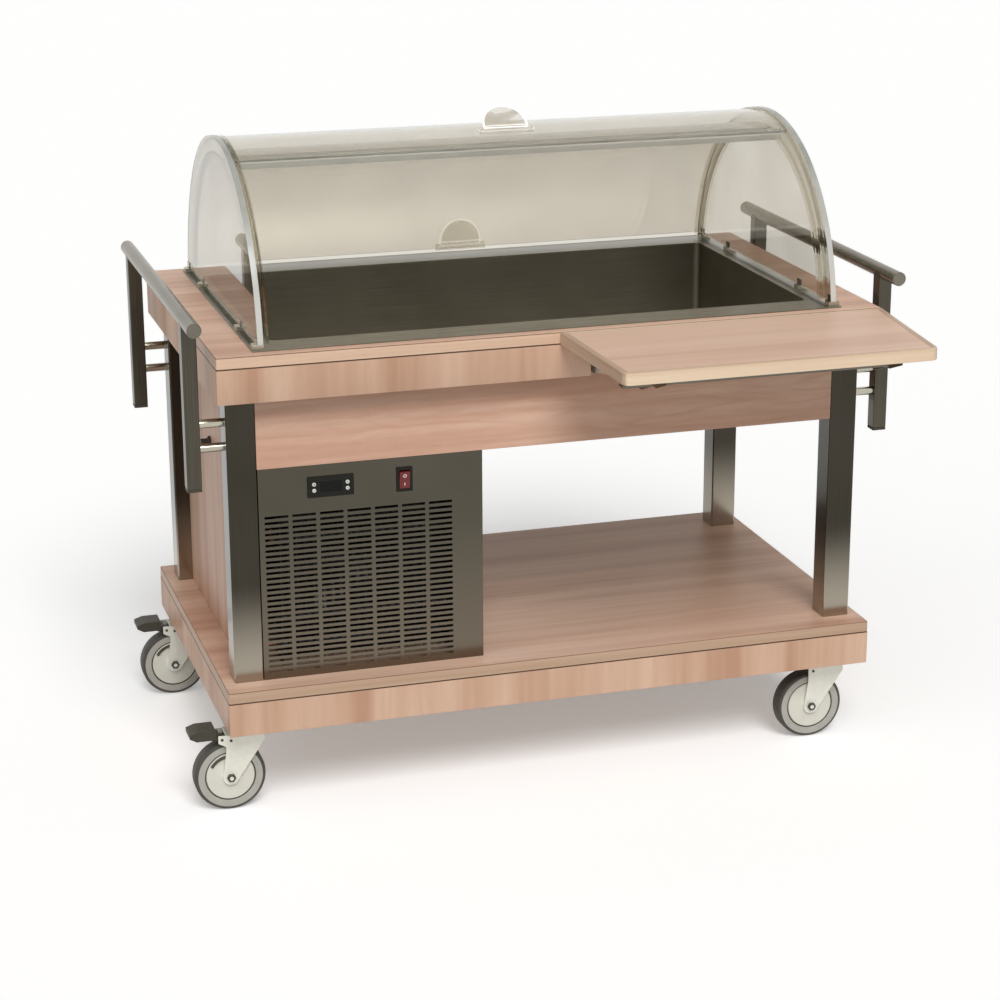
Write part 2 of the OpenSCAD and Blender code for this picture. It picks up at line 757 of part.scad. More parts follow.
// The fork trails towards -X, its swivel axis is at X = 0 and its pedal, if any, is at -X
module fork(side_x, side_y, braked) placed(zinc) at_caster(side_x, side_y) {
    for (y = [-fork_in, fork_out])
        translate([0, y, 0]) rotate([90, 0, 0]) linear_extrude(fork_t) cheek(braked);
    block([-fork_back, fork_front], [-fork_out, fork_out], [fork_top - fork_t, fork_top]);
    rod_z(0, 0, [fork_top - fork_t, caster_h - plate_t - 1], king_r);
    rod_y(-trail, [-fork_out - 2, fork_out + 2], wheel_r, pin_r);
    for (y = [[-fork_out - 5, -fork_out], [fork_out, fork_out + 5]]) rod_y(-trail, y, wheel_r, 8, $fn = 6);
    if (braked) rod_y(-trail, [-fork_out, fork_out], pedal_pivot_z, pin_r);
}

module wheel(side_x, side_y) placed("#6e6c66") at_caster(side_x, side_y)
    translate([-trail, 0, wheel_r]) rotate([90, 0, 0]) {
        rotate_extrude($fn = 64) polygon([[tyre_in, -tyre_w / 2 + 1], [wheel_r - 6, -tyre_w / 2],
            [wheel_r - 1.5, -tyre_w / 2 + 5], [wheel_r, 0], [wheel_r - 1.5, tyre_w / 2 - 5],
            [wheel_r - 6, tyre_w / 2], [tyre_in, tyre_w / 2 - 1]]);
        rotate_extrude($fn = 64) polygon([[pin_r + run, -fork_in + air], [10, -fork_in + air],
            [13, -tyre_w / 2], [tyre_in - glue, -tyre_w / 2 + 2], [tyre_in - glue, tyre_w / 2 - 2],
            [13, tyre_w / 2], [10, fork_in - air], [pin_r + run, fork_in - air]]);
    }

module pedal(side_y) placed(black) at_caster(-1, side_y) difference() {
    union() {
        rod_y(-trail, [-pedal_w / 2, pedal_w / 2], pedal_pivot_z, pedal_hub_r);
        block([-trail - 26, -trail], [-10, 10], [pedal_pivot_z - 4, pedal_pivot_z + 3]);
        block([-trail - 30, -trail - 16], [-14, 14], [pedal_pivot_z - 1, pedal_pivot_z + 9]);
        translate([0, tread_w / 2, pedal_pivot_z]) rotate([90, 0, 0]) linear_extrude(tread_w)
            polygon([[-trail - 24, tread_low], [-trail - 24, tread_top], [-pedal_l + 15, tread_top],
                [-pedal_l, tread_top - 5], [-pedal_l, tread_top - 12], [-pedal_l + 12, tread_low]]);
    }
    rod_y(-trail, [-pedal_w, pedal_w], pedal_pivot_z, pin_r + run);
}

module fork_front_left() fork(-1, -1, true);
module fork_front_right() fork(1, -1, false);
module fork_back_left() fork(-1, 1, true);
module fork_back_right() fork(1, 1, false);
module wheel_front_left() wheel(-1, -1);
module wheel_front_right() wheel(1, -1);
module wheel_back_left() wheel(-1, 1);
module wheel_back_right() wheel(1, 1);
module pedal_front() pedal(-1);
module pedal_back() pedal(1);

// Cooling unit

// A block in the cutout behind a control's frame, smaller by a gap all round
module cutout(x, w, h, gap, y) block([x - w / 2 + lip + gap, x + w / 2 - lip - gap], y,
    [ctrl_z - h / 2 + lip + gap, ctrl_z + h / 2 - lip - gap]);

module cooling_front() placed(steel) {
    difference() {
        block([unit_x0, unit_x1], [unit_y, unit_y + sheet_t], [deck_top, apron_z]);
        for (i = [0:slots_x - 1], k = [0:slots_z - 1])
            translate([grille_x + i * slot_dx, unit_y - eps, grille_z + k * slot_dz])
                cube([slot_l, sheet_t + 2 * eps, slot_h]);
        cutout(ctrl_x, ctrl_w, ctrl_h, 0, [unit_y - eps, unit_y + sheet_t + eps]);
        cutout(switch_x, switch_w, switch_h, 0, [unit_y - eps, unit_y + sheet_t + eps]);
    }
    block([unit_x0, unit_x0 + sheet_t], [unit_y, unit_y + flange], [deck_top, apron_z]);
    block([unit_x0, unit_x1 - sheet_t - glue], [unit_y, unit_y + flange], [apron_z - sheet_t, apron_z]);
}

module cooling_casing() placed(steel) difference() {
    union() {
        block([unit_x1 - sheet_t, unit_x1], [unit_y + sheet_t + glue, unit_back], [deck_top, foam_z0]);
        block([unit_x0, unit_x1], [unit_back - sheet_t, unit_back], [deck_top, apron_z]);
    }
    block([unit_x1 - 2 * sheet_t, unit_x1 + eps], [-leg_face_y - eps, -leg_face_y + apron_t + glue],
        [apron_z - glue, foam_z0 + eps]);
    block([unit_x1 - 2 * sheet_t, unit_x1 + eps], [leg_face_y - apron_t - glue, leg_face_y],
        [apron_z - glue, foam_z0 + eps]);
    for (k = [1:louvres])
        block([unit_x0 + louvre_in, unit_x1 - flange], [unit_back - 2 * sheet_t, unit_back + eps],
            [deck_top + k * louvre_dz, deck_top + k * louvre_dz + louvre_h]);
    rod_y(drain_x, [unit_back - 2 * sheet_t, unit_back + eps], drain_z, drain_r + 0.5);
}

module compressor() placed(black) {
    translate([comp_x, comp_y, deck_top + foot_h]) {
        translate([0, 0, 3]) rotate_extrude($fn = 64) polygon([[0, 0], [comp_r - 10, 0], [comp_r, 14],
            [comp_r, comp_h - 45], [comp_r - 8, comp_h - 20], [comp_r - 26, comp_h - 6], [0, comp_h]]);
        slab(comp_r * 2 + 50, comp_r * 2 - 10, 3 + glue, 6);
    }
    translate([comp_x, comp_y, deck_top]) corners(comp_r + 14, comp_r - 20)
        cylinder(h = foot_h - glue, r = 11);
}

module condenser() placed("#9a9a94") {
    for (x = [unit_mid - cond_l / 2, unit_mid + cond_l / 2 - 2])
        block([x, x + 2], [cond_y, cond_y + cond_d], [deck_top, deck_top + cond_h + 16]);
    for (i = [1:19]) translate([unit_mid - cond_l / 2 + i * cond_l / 20, 0, 0])
        block([-0.5, 0.5], [cond_y + 3, cond_y + cond_d - 3], [deck_top + 8, deck_top + 8 + cond_h]);
    for (k = [0:4]) rod_x([unit_mid - cond_l / 2 - 6, unit_mid + cond_l / 2 + 6], cond_y + cond_d / 2,
        deck_top + 8 + cond_h * (k + 0.5) / 5, 5);
}

module fan_shroud() placed("#3a3a38") difference() {
    union() {
        block([unit_mid - cond_l / 2, unit_mid + cond_l / 2], [cond_y + cond_d, cond_y + cond_d + 2],
            [deck_top, deck_top + cond_h + 16]);
        rod_y(unit_mid, [cond_y + cond_d, fan_y + 12], fan_z, fan_r + 8);
        for (side = [-1, 1]) translate([unit_mid + side * (fan_r + 14), 0, 0])
            block([-2, 2], [cond_y + cond_d, strap_y + strap_t], [fan_z - 10, fan_z + 10]);
        block([unit_mid - fan_r - 16, unit_mid + fan_r + 16], [strap_y, strap_y + strap_t],
            [fan_z - 10, fan_z + 10]);
    }
    rod_y(unit_mid, [cond_y + cond_d - eps, fan_y + 13], fan_z, fan_r + 6);
    rod_y(unit_mid, [strap_y - eps, strap_y + strap_t + eps], fan_z, 8);
}

module fan_motor() placed("#55554f") {
    rod_y(unit_mid, [strap_y + strap_t, strap_y + strap_t + motor_l], fan_z, motor_r);
    rod_y(unit_mid, [fan_y - 14, strap_y + strap_t + 1], fan_z, shaft_r);
}

module fan_rotor() placed("#b5b5ae") translate([unit_mid, fan_y, fan_z]) rotate([90, 0, 0]) difference() {
    union() {
        cylinder(h = hub_h, r = hub_r, center = true);
        for (i = [0:4]) rotate([0, 0, i * 72]) translate([hub_r - 2, 0, 0]) rotate([28, 0, 0])
            translate([0, -blade_w / 2, -blade_t / 2]) cube([fan_r - hub_r - 2, blade_w, blade_t]);
    }
    cylinder(h = 2 * hub_h, r = shaft_r + run, center = true);
}

// A pipe through points that differ in one coordinate at a time
module pipe(points) {
    for (i = [0:len(points) - 2]) {
        a = points[i];
        b = points[i + 1];
        lo = [min(a.x, b.x), min(a.y, b.y), min(a.z, b.z)];
        hi = [max(a.x, b.x), max(a.y, b.y), max(a.z, b.z)];
        if (hi.x > lo.x) rod_x([lo.x, hi.x], lo.y, lo.z, pipe_r);
        else if (hi.y > lo.y) rod_y(lo.x, [lo.y, hi.y], lo.z, pipe_r);
        else rod_z(lo.x, lo.y, [lo.z, hi.z], pipe_r);
    }
    for (i = [1:len(points) - 2]) translate(points[i]) sphere(pipe_r);
}

module refrigerant_pipes() placed("#b87333") {
    coil_y = cond_y + cond_d / 2;
    high = comp_top + 60;
    low = deck_top + 80;
    meet = evap_z - evap_r - air;
    pipe([[comp_x, comp_y, comp_top + air], [comp_x, comp_y, high], [cond_end - 6, comp_y, high],
        [cond_end - 6, coil_y, high], [cond_end - 6, coil_y, cond_high],
        [cond_end - air, coil_y, cond_high]]);
    pipe([[cond_end - air, coil_y, cond_low], [liquid_x, coil_y, cond_low], [liquid_x, evap_y0, cond_low],
        [liquid_x, evap_y0, foam_z0 - 40], [-evap_l, evap_y0, foam_z0 - 40], [-evap_l, evap_y0, meet]]);
    rod_z(liquid_x, evap_y0, [cond_low + drier_up, cond_low + drier_up + drier_l], drier_r);
    pipe([[-evap_l, -evap_y0, meet], [-evap_l, -evap_y0, low], [comp_x, -evap_y0, low],
        [comp_x, comp_y + comp_r + air, low]]);
}

// Controls

module controller() placed(black) difference() {
    union() {
        block([ctrl_x - ctrl_w / 2, ctrl_x + ctrl_w / 2], [unit_y - bezel_t, unit_y],
            [ctrl_z - ctrl_h / 2, ctrl_z + ctrl_h / 2]);
        cutout(ctrl_x, ctrl_w, ctrl_h, air, [unit_y - 1, unit_y + ctrl_d]);
    }
    block([ctrl_x - screen_w / 2, ctrl_x + screen_w / 2],
        [unit_y - bezel_t - eps, unit_y - bezel_t + screen_in],
        [ctrl_z - screen_h / 2, ctrl_z + screen_h / 2]);
    for (sx = [-1, 1], sz = [-1, 1]) rod_y(ctrl_x + sx * button_dx, [unit_y - bezel_t - eps, pocket_y],
        ctrl_z + sz * button_dz, button_r + press);
}

module button(sx, sz) placed("#c9c9c2") rod_y(ctrl_x + sx * button_dx,
    [unit_y - bezel_t - button_out, unit_y - bezel_t + button_l - button_out],
    ctrl_z + sz * button_dz, button_r);

module button_set() button(-1, -1);
module button_up() button(1, 1);
module button_down() button(1, -1);
module button_defrost() button(-1, 1);

module switch_frame() placed(black) difference() {
    union() {
        block([switch_x - switch_w / 2, switch_x + switch_w / 2], [unit_y - 2.5, unit_y],
            [ctrl_z - switch_h / 2, ctrl_z + switch_h / 2]);
        cutout(switch_x, switch_w, switch_h, air, [unit_y - 1, unit_y + switch_d]);
    }
    block([switch_x - rocker_w / 2 - air, switch_x + rocker_w / 2 + air], [unit_y - 3.5, unit_y + 14],
        [ctrl_z - rocker_h / 2 - 1.2, ctrl_z + rocker_h / 2 + 1.2]);
    rod_x([switch_x - rocker_pin_l / 2 - air, switch_x + rocker_pin_l / 2 + air], rocker_y, ctrl_z, 2 + run);
}

module rocker_switch() placed("#b02a20") translate([switch_x, rocker_y, ctrl_z]) rotate([rocker_tilt, 0, 0]) {
    along_x(-rocker_w / 2, rocker_w) polygon([[-8, rocker_h / 2], [-6.5, 0], [-8, -rocker_h / 2],
        [0, -rocker_h / 2 + 1], [5, -3], [5, 3], [0, rocker_h / 2 - 1]]);
    rotate([0, 90, 0]) cylinder(h = rocker_pin_l, r = 2, center = true);
}

deck_panel();
deck_rails();
caster_blocks();
legs();
top_panel();
top_front_rail();
top_rails();
front_apron();
aprons();
left_side_panel();
cooling_front();
cooling_casing();
compressor();
condenser();
fan_shroud();
fan_motor();
fan_rotor();
refrigerant_pipes();
controller();
button_set();
button_up();
button_down();
button_defrost();
switch_frame();
rocker_switch();
cord_gland();
well_rim();
well();
insulation();
evaporator();
drain_pipe();
end_panels();
panel_clips();
cover_guides();
front_cover();
front_cover_bar();
front_cover_handle();
rear_cover();
rear_cover_bar();
rear_cover_handle();
leaf();
hinge_fixed_leaves();
hinge_moving_leaves();
leaf_arms();
wall_brackets();
brace_left();
brace_right();
push_handles();
handle_caps();
caster_plates();
fork_front_left();
fork_front_right();
fork_back_left();
fork_back_right();
wheel_front_left();
wheel_front_right();
wheel_back_left();
wheel_back_right();
pedal_front();
pedal_back();
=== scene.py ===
import math

import bpy
from mathutils import Matrix, Vector


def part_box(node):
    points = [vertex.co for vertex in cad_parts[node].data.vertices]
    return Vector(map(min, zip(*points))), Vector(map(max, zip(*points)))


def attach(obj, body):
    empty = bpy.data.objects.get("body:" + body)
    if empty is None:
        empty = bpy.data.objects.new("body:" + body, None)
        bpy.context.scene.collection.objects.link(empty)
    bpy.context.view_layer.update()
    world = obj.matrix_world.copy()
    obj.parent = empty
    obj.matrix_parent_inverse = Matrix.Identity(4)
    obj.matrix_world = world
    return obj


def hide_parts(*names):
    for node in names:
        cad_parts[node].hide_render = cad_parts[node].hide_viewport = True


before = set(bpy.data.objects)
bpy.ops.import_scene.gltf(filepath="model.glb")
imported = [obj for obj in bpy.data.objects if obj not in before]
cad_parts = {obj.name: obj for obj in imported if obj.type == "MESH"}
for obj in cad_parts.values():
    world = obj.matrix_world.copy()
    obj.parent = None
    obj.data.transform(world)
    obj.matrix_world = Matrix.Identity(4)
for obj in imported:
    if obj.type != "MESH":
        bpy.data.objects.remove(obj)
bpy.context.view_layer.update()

# The photographer's view: a 91 mm lens on a 36 mm frame, 4.3 m in front of the trolley and a
# little to its left, 1.84 m up and looking down by 18 degrees.
yaw, pitch, roll = 0.2934, 0.3077, -0.0042
ahead = Vector((math.sin(yaw) * math.cos(pitch), math.cos(yaw) * math.cos(pitch), -math.sin(pitch)))
right = Vector((math.cos(yaw), -math.sin(yaw), 0))
up = right.cross(ahead)
side = math.cos(roll) * right + math.sin(roll) * up
top = math.cos(roll) * up - math.sin(roll) * right
bpy.ops.object.camera_add(location=(-1.28788, -4.12851, 1.83822))
camera = bpy.context.object
camera.rotation_euler = Matrix((side, top, -ahead)).transposed().to_euler()
camera.data.lens = 90.75
camera.data.sensor_width = 36
camera.data.clip_end = 60
bpy.context.scene.camera = camera


def linear(code):
    """An sRGB hex colour as the linear colour that a shader takes."""
    parts = [int(code[i:i + 2], 16) / 255 for i in (1, 3, 5)]
    return tuple(c / 12.92 if c <= 0.04045 else ((c + 0.055) / 1.055) ** 2.4 for c in parts) + (1.0,)


def add(tree, kind, sockets={}, **settings):
    """Adds one shader node with its settings, its values and its links."""
    made = tree.nodes.new("ShaderNode" + kind)
    for name, value in settings.items():
        setattr(made, name, value)
    for name, value in sockets.items():
        if isinstance(value, bpy.types.NodeSocket):
            tree.links.new(value, made.inputs[name])
        else:
            made.inputs[name].default_value = value
    return made


# The studio: one seamless pale paper floor under a big soft lamp from the upper front and a
# weaker one on the left. The paper shows almost white and keeps the trolley's soft shadow.
bpy.ops.mesh.primitive_plane_add(size=40)
paper = bpy.context.object
paper.name = "studio_floor"


def seen_rays(tree):
    """1 for the rays that show a surface straight, mirrored or through something clear, and 0 for
    those that only light the trolley."""
    ray = add(tree, "LightPath").outputs
    straight = add(tree, "Math", {0: ray["Is Camera Ray"], 1: ray["Is Glossy Ray"]}, operation="MAXIMUM")
    shown = add(tree, "Math", {0: straight.outputs[0], 1: ray["Is Transmission Ray"]},
                operation="MAXIMUM")
    return shown.outputs[0]


# Seamless paper, matt: it shows nearly white and even, and only the shadow marks it.
pale = bpy.data.materials.new("seamless_paper")
pale.use_nodes = True
tree = pale.node_tree
tree.nodes.clear()
matte = add(tree, "BsdfDiffuse", {"Color": linear("#d9d9d7")})
shaded = add(tree, "BsdfDiffuse", {"Color": linear("#ffffff")})
glow = add(tree, "Emission", {"Color": linear("#fdfdfa"), "Strength": 0.27})
paper_look = add(tree, "AddShader", {0: shaded.outputs[0], 1: glow.outputs[0]})
mixed = add(tree, "MixShader", {0: seen_rays(tree), 1: matte.outputs[0], 2: paper_look.outputs[0]})
add(tree, "OutputMaterial", {"Surface": mixed.outputs[0]})
paper.data.materials.append(pale)

world = bpy.data.worlds.new("studio")
bpy.context.scene.world = world
world.use_nodes = True
tree = world.node_tree
tree.nodes.clear()
fill = add(tree, "Background", {"Color": (1, 1, 1, 1), "Strength": 0.2})
white = add(tree, "Background", {"Color": linear("#fdfdfa"), "Strength": 1.0})
mixed = add(tree, "MixShader", {0: seen_rays(tree), 1: fill.outputs[0], 2: white.outputs[0]})
add(tree, "OutputWorld", {"Surface": mixed.outputs[0]})

for name, towards, strength, spread in (("key_lamp", (0.04, 0.8, -0.86), 1.95, 28),
                                       ("fill_lamp", (0.9, 0.7, -0.6), 0.5, 60)):
    bpy.ops.object.light_add(type="SUN", location=(0, 0, 4))
    lamp = bpy.context.object
    lamp.name = name
    lamp.rotation_euler = Vector(towards).to_track_quat("-Z", "Y").to_euler()
    lamp.data.energy = strength
    lamp.data.angle = math.radians(spread)
bpy.context.scene.view_settings.view_transform = "Standard"

# Deck, the lower shelf: a 20 mm board veneered with steamed beech, its grain along the trolley,
# with a paler beech lipping glued round its edge and a fine dark glue line beside it.
def begin(name, **values):
    """Starts a material: its Principled shader with its plain values, and Object coordinates."""
    made = bpy.data.materials.new(name)
    made.use_nodes = True
    made.node_tree.nodes.clear()
    shader = add(made.node_tree, "BsdfPrincipled", {key.replace("_", " "): v for key, v in values.items()})
    add(made.node_tree, "OutputMaterial", {"Surface": shader.outputs[0]})
    place = add(made.node_tree, "TexCoord").outputs["Object"]
    return made, made.node_tree, shader, place


def beech(name, along, pale_tone, mid_tone, dark_tone, band=60, vein=14, swirl=0.9, depth=0.3):
    """Steamed beech veneer, satin lacquered: broad soft bands, a wavy figure and small dark flecks.
    along is the axis that the grain runs along; band and vein are widths in millimetres."""
    made, tree, shader, place = begin(name, Roughness=0.42, IOR=1.5, Specular_IOR_Level=0.25)
    cross = {"X": (1, 0, 0), "Y": (0, 1, 0), "Z": (0, 0, 1)}[along]

    def pattern(across, length, **sockets):
        """Noise in marks of that width and length, in millimetres."""
        scale = tuple(1000 / (length if c else across) for c in cross)
        spread = add(tree, "Mapping", {"Vector": place, "Scale": scale})
        return add(tree, "TexNoise", {"Vector": spread.outputs[0], "Scale": 1.0, **sockets}).outputs["Fac"]

    bands = pattern(band, 1500, Detail=3.0, Roughness=0.55, Distortion=0.3)
    figure = pattern(vein, 170, Detail=4.0, Roughness=0.55, Distortion=swirl)
    # Real beech flecks are 0.5 mm wide; they are drawn 1.4 mm wide so that they show.
    flecks = pattern(1.4, 14, Detail=2.0, Roughness=0.6)
    sheen = pattern(90, 500, Detail=1.0)
    broad = add(tree, "ValToRGB", {"Fac": bands})
    broad.color_ramp.elements[0].position = 0.34
    broad.color_ramp.elements[0].color = linear(dark_tone)
    broad.color_ramp.elements[1].position = 0.66
    broad.color_ramp.elements[1].color = linear(pale_tone)
    broad.color_ramp.elements.new(0.5).color = linear(mid_tone)
    veins = add(tree, "MapRange", {"Value": figure, "From Min": 0.4, "From Max": 0.72, "To Max": depth})
    dark = linear(dark_tone)
    veined = add(tree, "Mix", {"Factor": veins.outputs[0], "A": broad.outputs["Color"], "B": dark},
                 data_type="RGBA")
    specks = add(tree, "MapRange", {"Value": flecks, "From Min": 0.55, "From Max": 0.75, "To Max": 0.22})
    wood = add(tree, "Mix", {"Factor": specks.outputs[0], "A": veined.outputs["Result"], "B": dark},
               data_type="RGBA")
    tree.links.new(wood.outputs["Result"], shader.inputs["Base Color"])
    satin = add(tree, "MapRange", {"Value": sheen, "To Min": 0.36, "To Max": 0.5})
    tree.links.new(satin.outputs[0], shader.inputs["Roughness"])
    pores = add(tree, "Bump", {"Height": flecks, "Strength": 0.05, "Distance": 0.0003})
    tree.links.new(pores.outputs[0], shader.inputs["Normal"])
    return made


def pick(piece):
    """Selects one piece alone."""
    bpy.ops.object.select_all(action="DESELECT")
    piece.select_set(True)
    bpy.context.view_layer.objects.active = piece


def settle(piece):
    """Puts a piece's place, turn and scale into its mesh."""
    pick(piece)
    bpy.ops.object.transform_apply(location=True, rotation=True, scale=True)
    return piece


def block(name, low, high):
    """A box between two corners, to be shaped further."""
    bpy.ops.object.select_all(action="DESELECT")
    bpy.ops.mesh.primitive_cube_add(size=1, location=[(a + b) / 2 for a, b in zip(low, high)])
    piece = bpy.context.object
    piece.scale = [b - a for a, b in zip(low, high)]
    piece.name = piece.data.name = name
    return settle(piece)


def edit(piece, kind, test):
    """Opens a piece in edit mode with the faces or edges selected that pass a test of their middle
    and of their normal or direction."""
    pick(piece)
    bpy.ops.object.mode_set(mode="EDIT")
    bpy.ops.mesh.select_mode(type=kind)
    bpy.ops.mesh.select_all(action="DESELECT")
    bpy.ops.object.mode_set(mode="OBJECT")
    if kind == "FACE":
        for face in piece.data.polygons:
            face.select = bool(test(face.center, face.normal))
    else:
        for edge in piece.data.edges:
            a, b = (piece.data.vertices[i].co for i in edge.vertices)
            edge.select = bool(test((a + b) / 2, (b - a).normalized()))
    bpy.ops.object.mode_set(mode="EDIT")


def paint(piece, number, test=None):
    """Gives a finish slot to the selected faces, or to the faces that pass a test."""
    if test:
        edit(piece, "FACE", test)
    piece.active_material_index = number
    bpy.ops.object.material_slot_assign()
    bpy.ops.object.mode_set(mode="OBJECT")


def upright(middle, way):
    """The edges that stand upright."""
    return abs(way.z) > 0.9


def round_edges(piece, radius, segments, test=upright):
    """Rounds the edges that pass a test."""
    edit(piece, "EDGE", test)
    bpy.ops.mesh.bevel(offset=radius, segments=segments, affect="EDGES")
    bpy.ops.object.mode_set(mode="OBJECT")


def soften(piece, width, segments=2, angle=40):
    """Breaks the sharp edges, and keeps the flat faces' light flat beside them."""
    pick(piece)
    rounding = piece.modifiers.new("rounding", "BEVEL")
    rounding.width, rounding.segments, rounding.angle_limit = width, segments, math.radians(angle)
    bpy.ops.object.modifier_apply(modifier="rounding")
    bpy.ops.object.shade_smooth_by_angle(angle=math.radians(35))
    flats = piece.modifiers.new("flats", "WEIGHTED_NORMAL")
    flats.keep_sharp = True
    bpy.ops.object.modifier_apply(modifier="flats")
    return piece


def fit(piece, body, slot, materials, *nodes):
    """Fits a finished piece on its body, with its finishes, in place of the CAD nodes it stands for."""
    if not piece.data.materials:
        for material in materials:
            piece.data.materials.append(material)
    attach(piece, body)
    if nodes:
        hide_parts(*nodes)


glue_w, eased_w = 0.0008, 0.0012


def lipped_board(name, low, high, radius, lip, finishes, taper=(0, 0)):
    """A veneered board: rounded corners, a lipping round its top and a glue line beside that."""
    piece = block(name, low, high)
    for material in finishes:
        piece.data.materials.append(material)
    if any(taper):
        for corner in piece.data.vertices:
            if corner.co.y < (low[1] + high[1]) / 2:
                corner.co.x += taper[0] if corner.co.x < (low[0] + high[0]) / 2 else -taper[1]
    paint(piece, 2, lambda middle, out: abs(out.x) > abs(out.y))
    paint(piece, 1, lambda middle, out: abs(out.y) > 0.9 or out.z > 0.9)
    edit(piece, "FACE", lambda middle, out: out.z > 0.9)
    bpy.ops.mesh.inset(thickness=lip, depth=0)
    piece.active_material_index = 3
    bpy.ops.object.material_slot_assign()
    bpy.ops.mesh.inset(thickness=glue_w, depth=0)
    paint(piece, 0)
    paint(piece, 2, lambda middle, out: out.z > 0.9 and min(middle.x - low[0], high[0] - middle.x)
          < lip / 2 + max(taper) / 2 + 0.001)
    paint(piece, 0, lambda middle, out: out.z < -0.9)
    round_edges(piece, radius, 6, lambda middle, way: upright(middle, way)
                and (not any(taper) or middle.y < low[1] + 0.01))
    return soften(piece, eased_w)


def paint_seam(piece, number, level, way):
    """Gives a darker finish to the broken edge just above or below the joint between a board and its edge
    board; at the joint it is painted shade.
    """
    paint(piece, number, lambda middle, out: 0.2 < way * out.z < 0.999 and abs(middle.z - level) < 0.0015)


# The lippings are solid beech, sanded: yellower and quieter than the veneer. Glue darkens the line
# beside them, and the open joint under an edge gets a thin painted shade.
# The deck's veneer and lengthwise lipping are beech painted darker than the top board's: painted shade under
# the top board.
beech_veneer_painted_shade = beech("steamed_beech_veneer_painted_shade", "X", "#dfbda7", "#d4ae96", "#c0967e")
beech_lipping_painted_shade = beech("beech_lipping_lengthwise_painted_shade", "X", "#cdb097", "#c4a48a", "#b49278", 30, 6, 0.4)
lipping_cross = beech("beech_lipping_crosswise", "Y", "#d8bda6", "#ccae95", "#ba987e", 30, 6, 0.4)
glue_line = beech("glue_line", "X", "#a8836b", "#9c765f", "#8a654f", 20, 4)
painted_seam_shade = beech("painted_seam_shade", "X", "#6f5443", "#634a3a", "#54402f", 20, 4)
deck_finishes = (beech_veneer_painted_shade, beech_lipping_painted_shade, lipping_cross, glue_line, painted_seam_shade)
board_r, lip_w = 0.004, 0.007
low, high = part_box("deck_panel")
deck = lipped_board("deck_board", low, high, board_r, lip_w, deck_finishes)
paint(deck, 0, lambda middle, out: out.z > 0.999)
paint_seam(deck, 3, high[2], 1)
paint_seam(deck, 4, low[2], -1)
fit(deck, "frame", "wood", (), "deck_panel")

# Edge boards of the deck: 60 mm high and 20 mm thick, the long ones full length and the short ones
# between them. Their veneer stands upright, so the boards show soft upright bands.
beech_upright = beech("steamed_beech_upright_veneer", "Z", "#e3c0a7", "#d7b197", "#c59a80",
                      75, 18, 0.5, 0.25)
eased_edge_w = 0.0013


def edge_boards(node, name, parts, material):
    """The boards of one node, each with softly broken edges."""
    for n, (low, high) in enumerate(parts):
        board = soften(block(name if n == 0 else name + "_" + str(n + 1), low, high), eased_edge_w)
        board.data.materials.append(material)
        board.data.materials.append(painted_seam_shade)
        paint_seam(board, 1, high[2], 1)
        fit(board, "frame", "wood", (), node)


low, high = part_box("deck_rails")
board_t = 0.020
joint = 0.0002
edge_boards("deck_rails", "deck_edge_board", (
    (low, (high[0], low[1] + board_t, high[2])),
    ((low[0], high[1] - board_t, low[2]), high),
    ((low[0], low[1] + board_t + joint, low[2]), (low[0] + board_t, high[1] - board_t - joint, high[2])),
    ((high[0] - board_t, low[1] + board_t + joint, low[2]), (high[0], high[1] - board_t - joint, high[2])),
), beech_upright)


def dress(material, *names):
    """Gives CAD nodes their finish."""
    for name in names:
        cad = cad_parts[name]
        cad.data.materials.clear()
        cad.data.materials.append(material)
        for face in cad.data.polygons:
            face.material_index = 0


# The caster blocks take the deck's veneer, with its painted shade.
dress(beech_veneer_painted_shade, "caster_blocks")

# Legs: four 50 mm square stainless tubes, brushed along their length, standing on the deck. Their
# dark tone is painted reflection, painted paler low down as painted reflection of the pale deck.
def brushed_steel(name, along, tone, light_tone, rough=0.32, foot=None, rise=(0.235, 0.48)):
    """Satin stainless steel, brushed along one axis: a soft sheen with fine streaks, over clouds of
    what it mirrors. Its optional paler tone is painted low down, between two levels, as painted reflection
    of pale things below."""
    made, tree, shader, place = begin(name, Metallic=1.0, Roughness=rough)
    long_way = {"X": (1, 0, 0), "Y": (0, 1, 0), "Z": (0, 0, 1)}[along]
    # Real brush marks are under 0.1 mm wide; they are drawn 1.5 mm wide so that they show.
    scale = tuple(1000 / (220 if c else 1.5) for c in long_way)
    spread = add(tree, "Mapping", {"Vector": place, "Scale": scale})
    lines = add(tree, "TexNoise", {"Vector": spread.outputs[0], "Scale": 1.0, "Detail": 2.0,
                                   "Roughness": 0.7})
    cloud = add(tree, "TexNoise", {"Vector": place, "Scale": 1000 / 160, "Detail": 2.0})
    both = add(tree, "Math", {0: lines.outputs["Fac"], 1: cloud.outputs["Fac"]}, operation="ADD")
    tone_ramp = add(tree, "MapRange", {"Value": both.outputs[0], "From Min": 0.7, "From Max": 1.3})
    tones = add(tree, "Mix", {"Factor": tone_ramp.outputs[0], "A": linear(tone), "B": linear(light_tone)},
                data_type="RGBA")
    # Painted reflection: the colour goes paler low down, between the two levels.
    if foot:
        level = add(tree, "SeparateXYZ", {"Vector": place})
        painted_reflection_mask = add(tree, "MapRange", {"Value": level.outputs["Z"], "From Min": rise[1],
                                          "From Max": rise[0]}, interpolation_type="SMOOTHSTEP")
        tones = add(tree, "Mix", {"Factor": painted_reflection_mask.outputs[0], "A": tones.outputs["Result"],
                                  "B": linear(foot)}, data_type="RGBA")
    tree.links.new(tones.outputs["Result"], shader.inputs["Base Color"])
    scratch = add(tree, "MapRange", {"Value": lines.outputs["Fac"], "To Min": rough - 0.05,
                                     "To Max": rough + 0.07})
    tree.links.new(scratch.outputs[0], shader.inputs["Roughness"])
    return made


def twin(piece, name, shift):
    """A copy with its own mesh, moved."""
    other = piece.copy()
    other.data = piece.data.copy()
    other.name = other.data.name = name
    bpy.context.collection.objects.link(other)
    other.location = shift
    return settle(other)


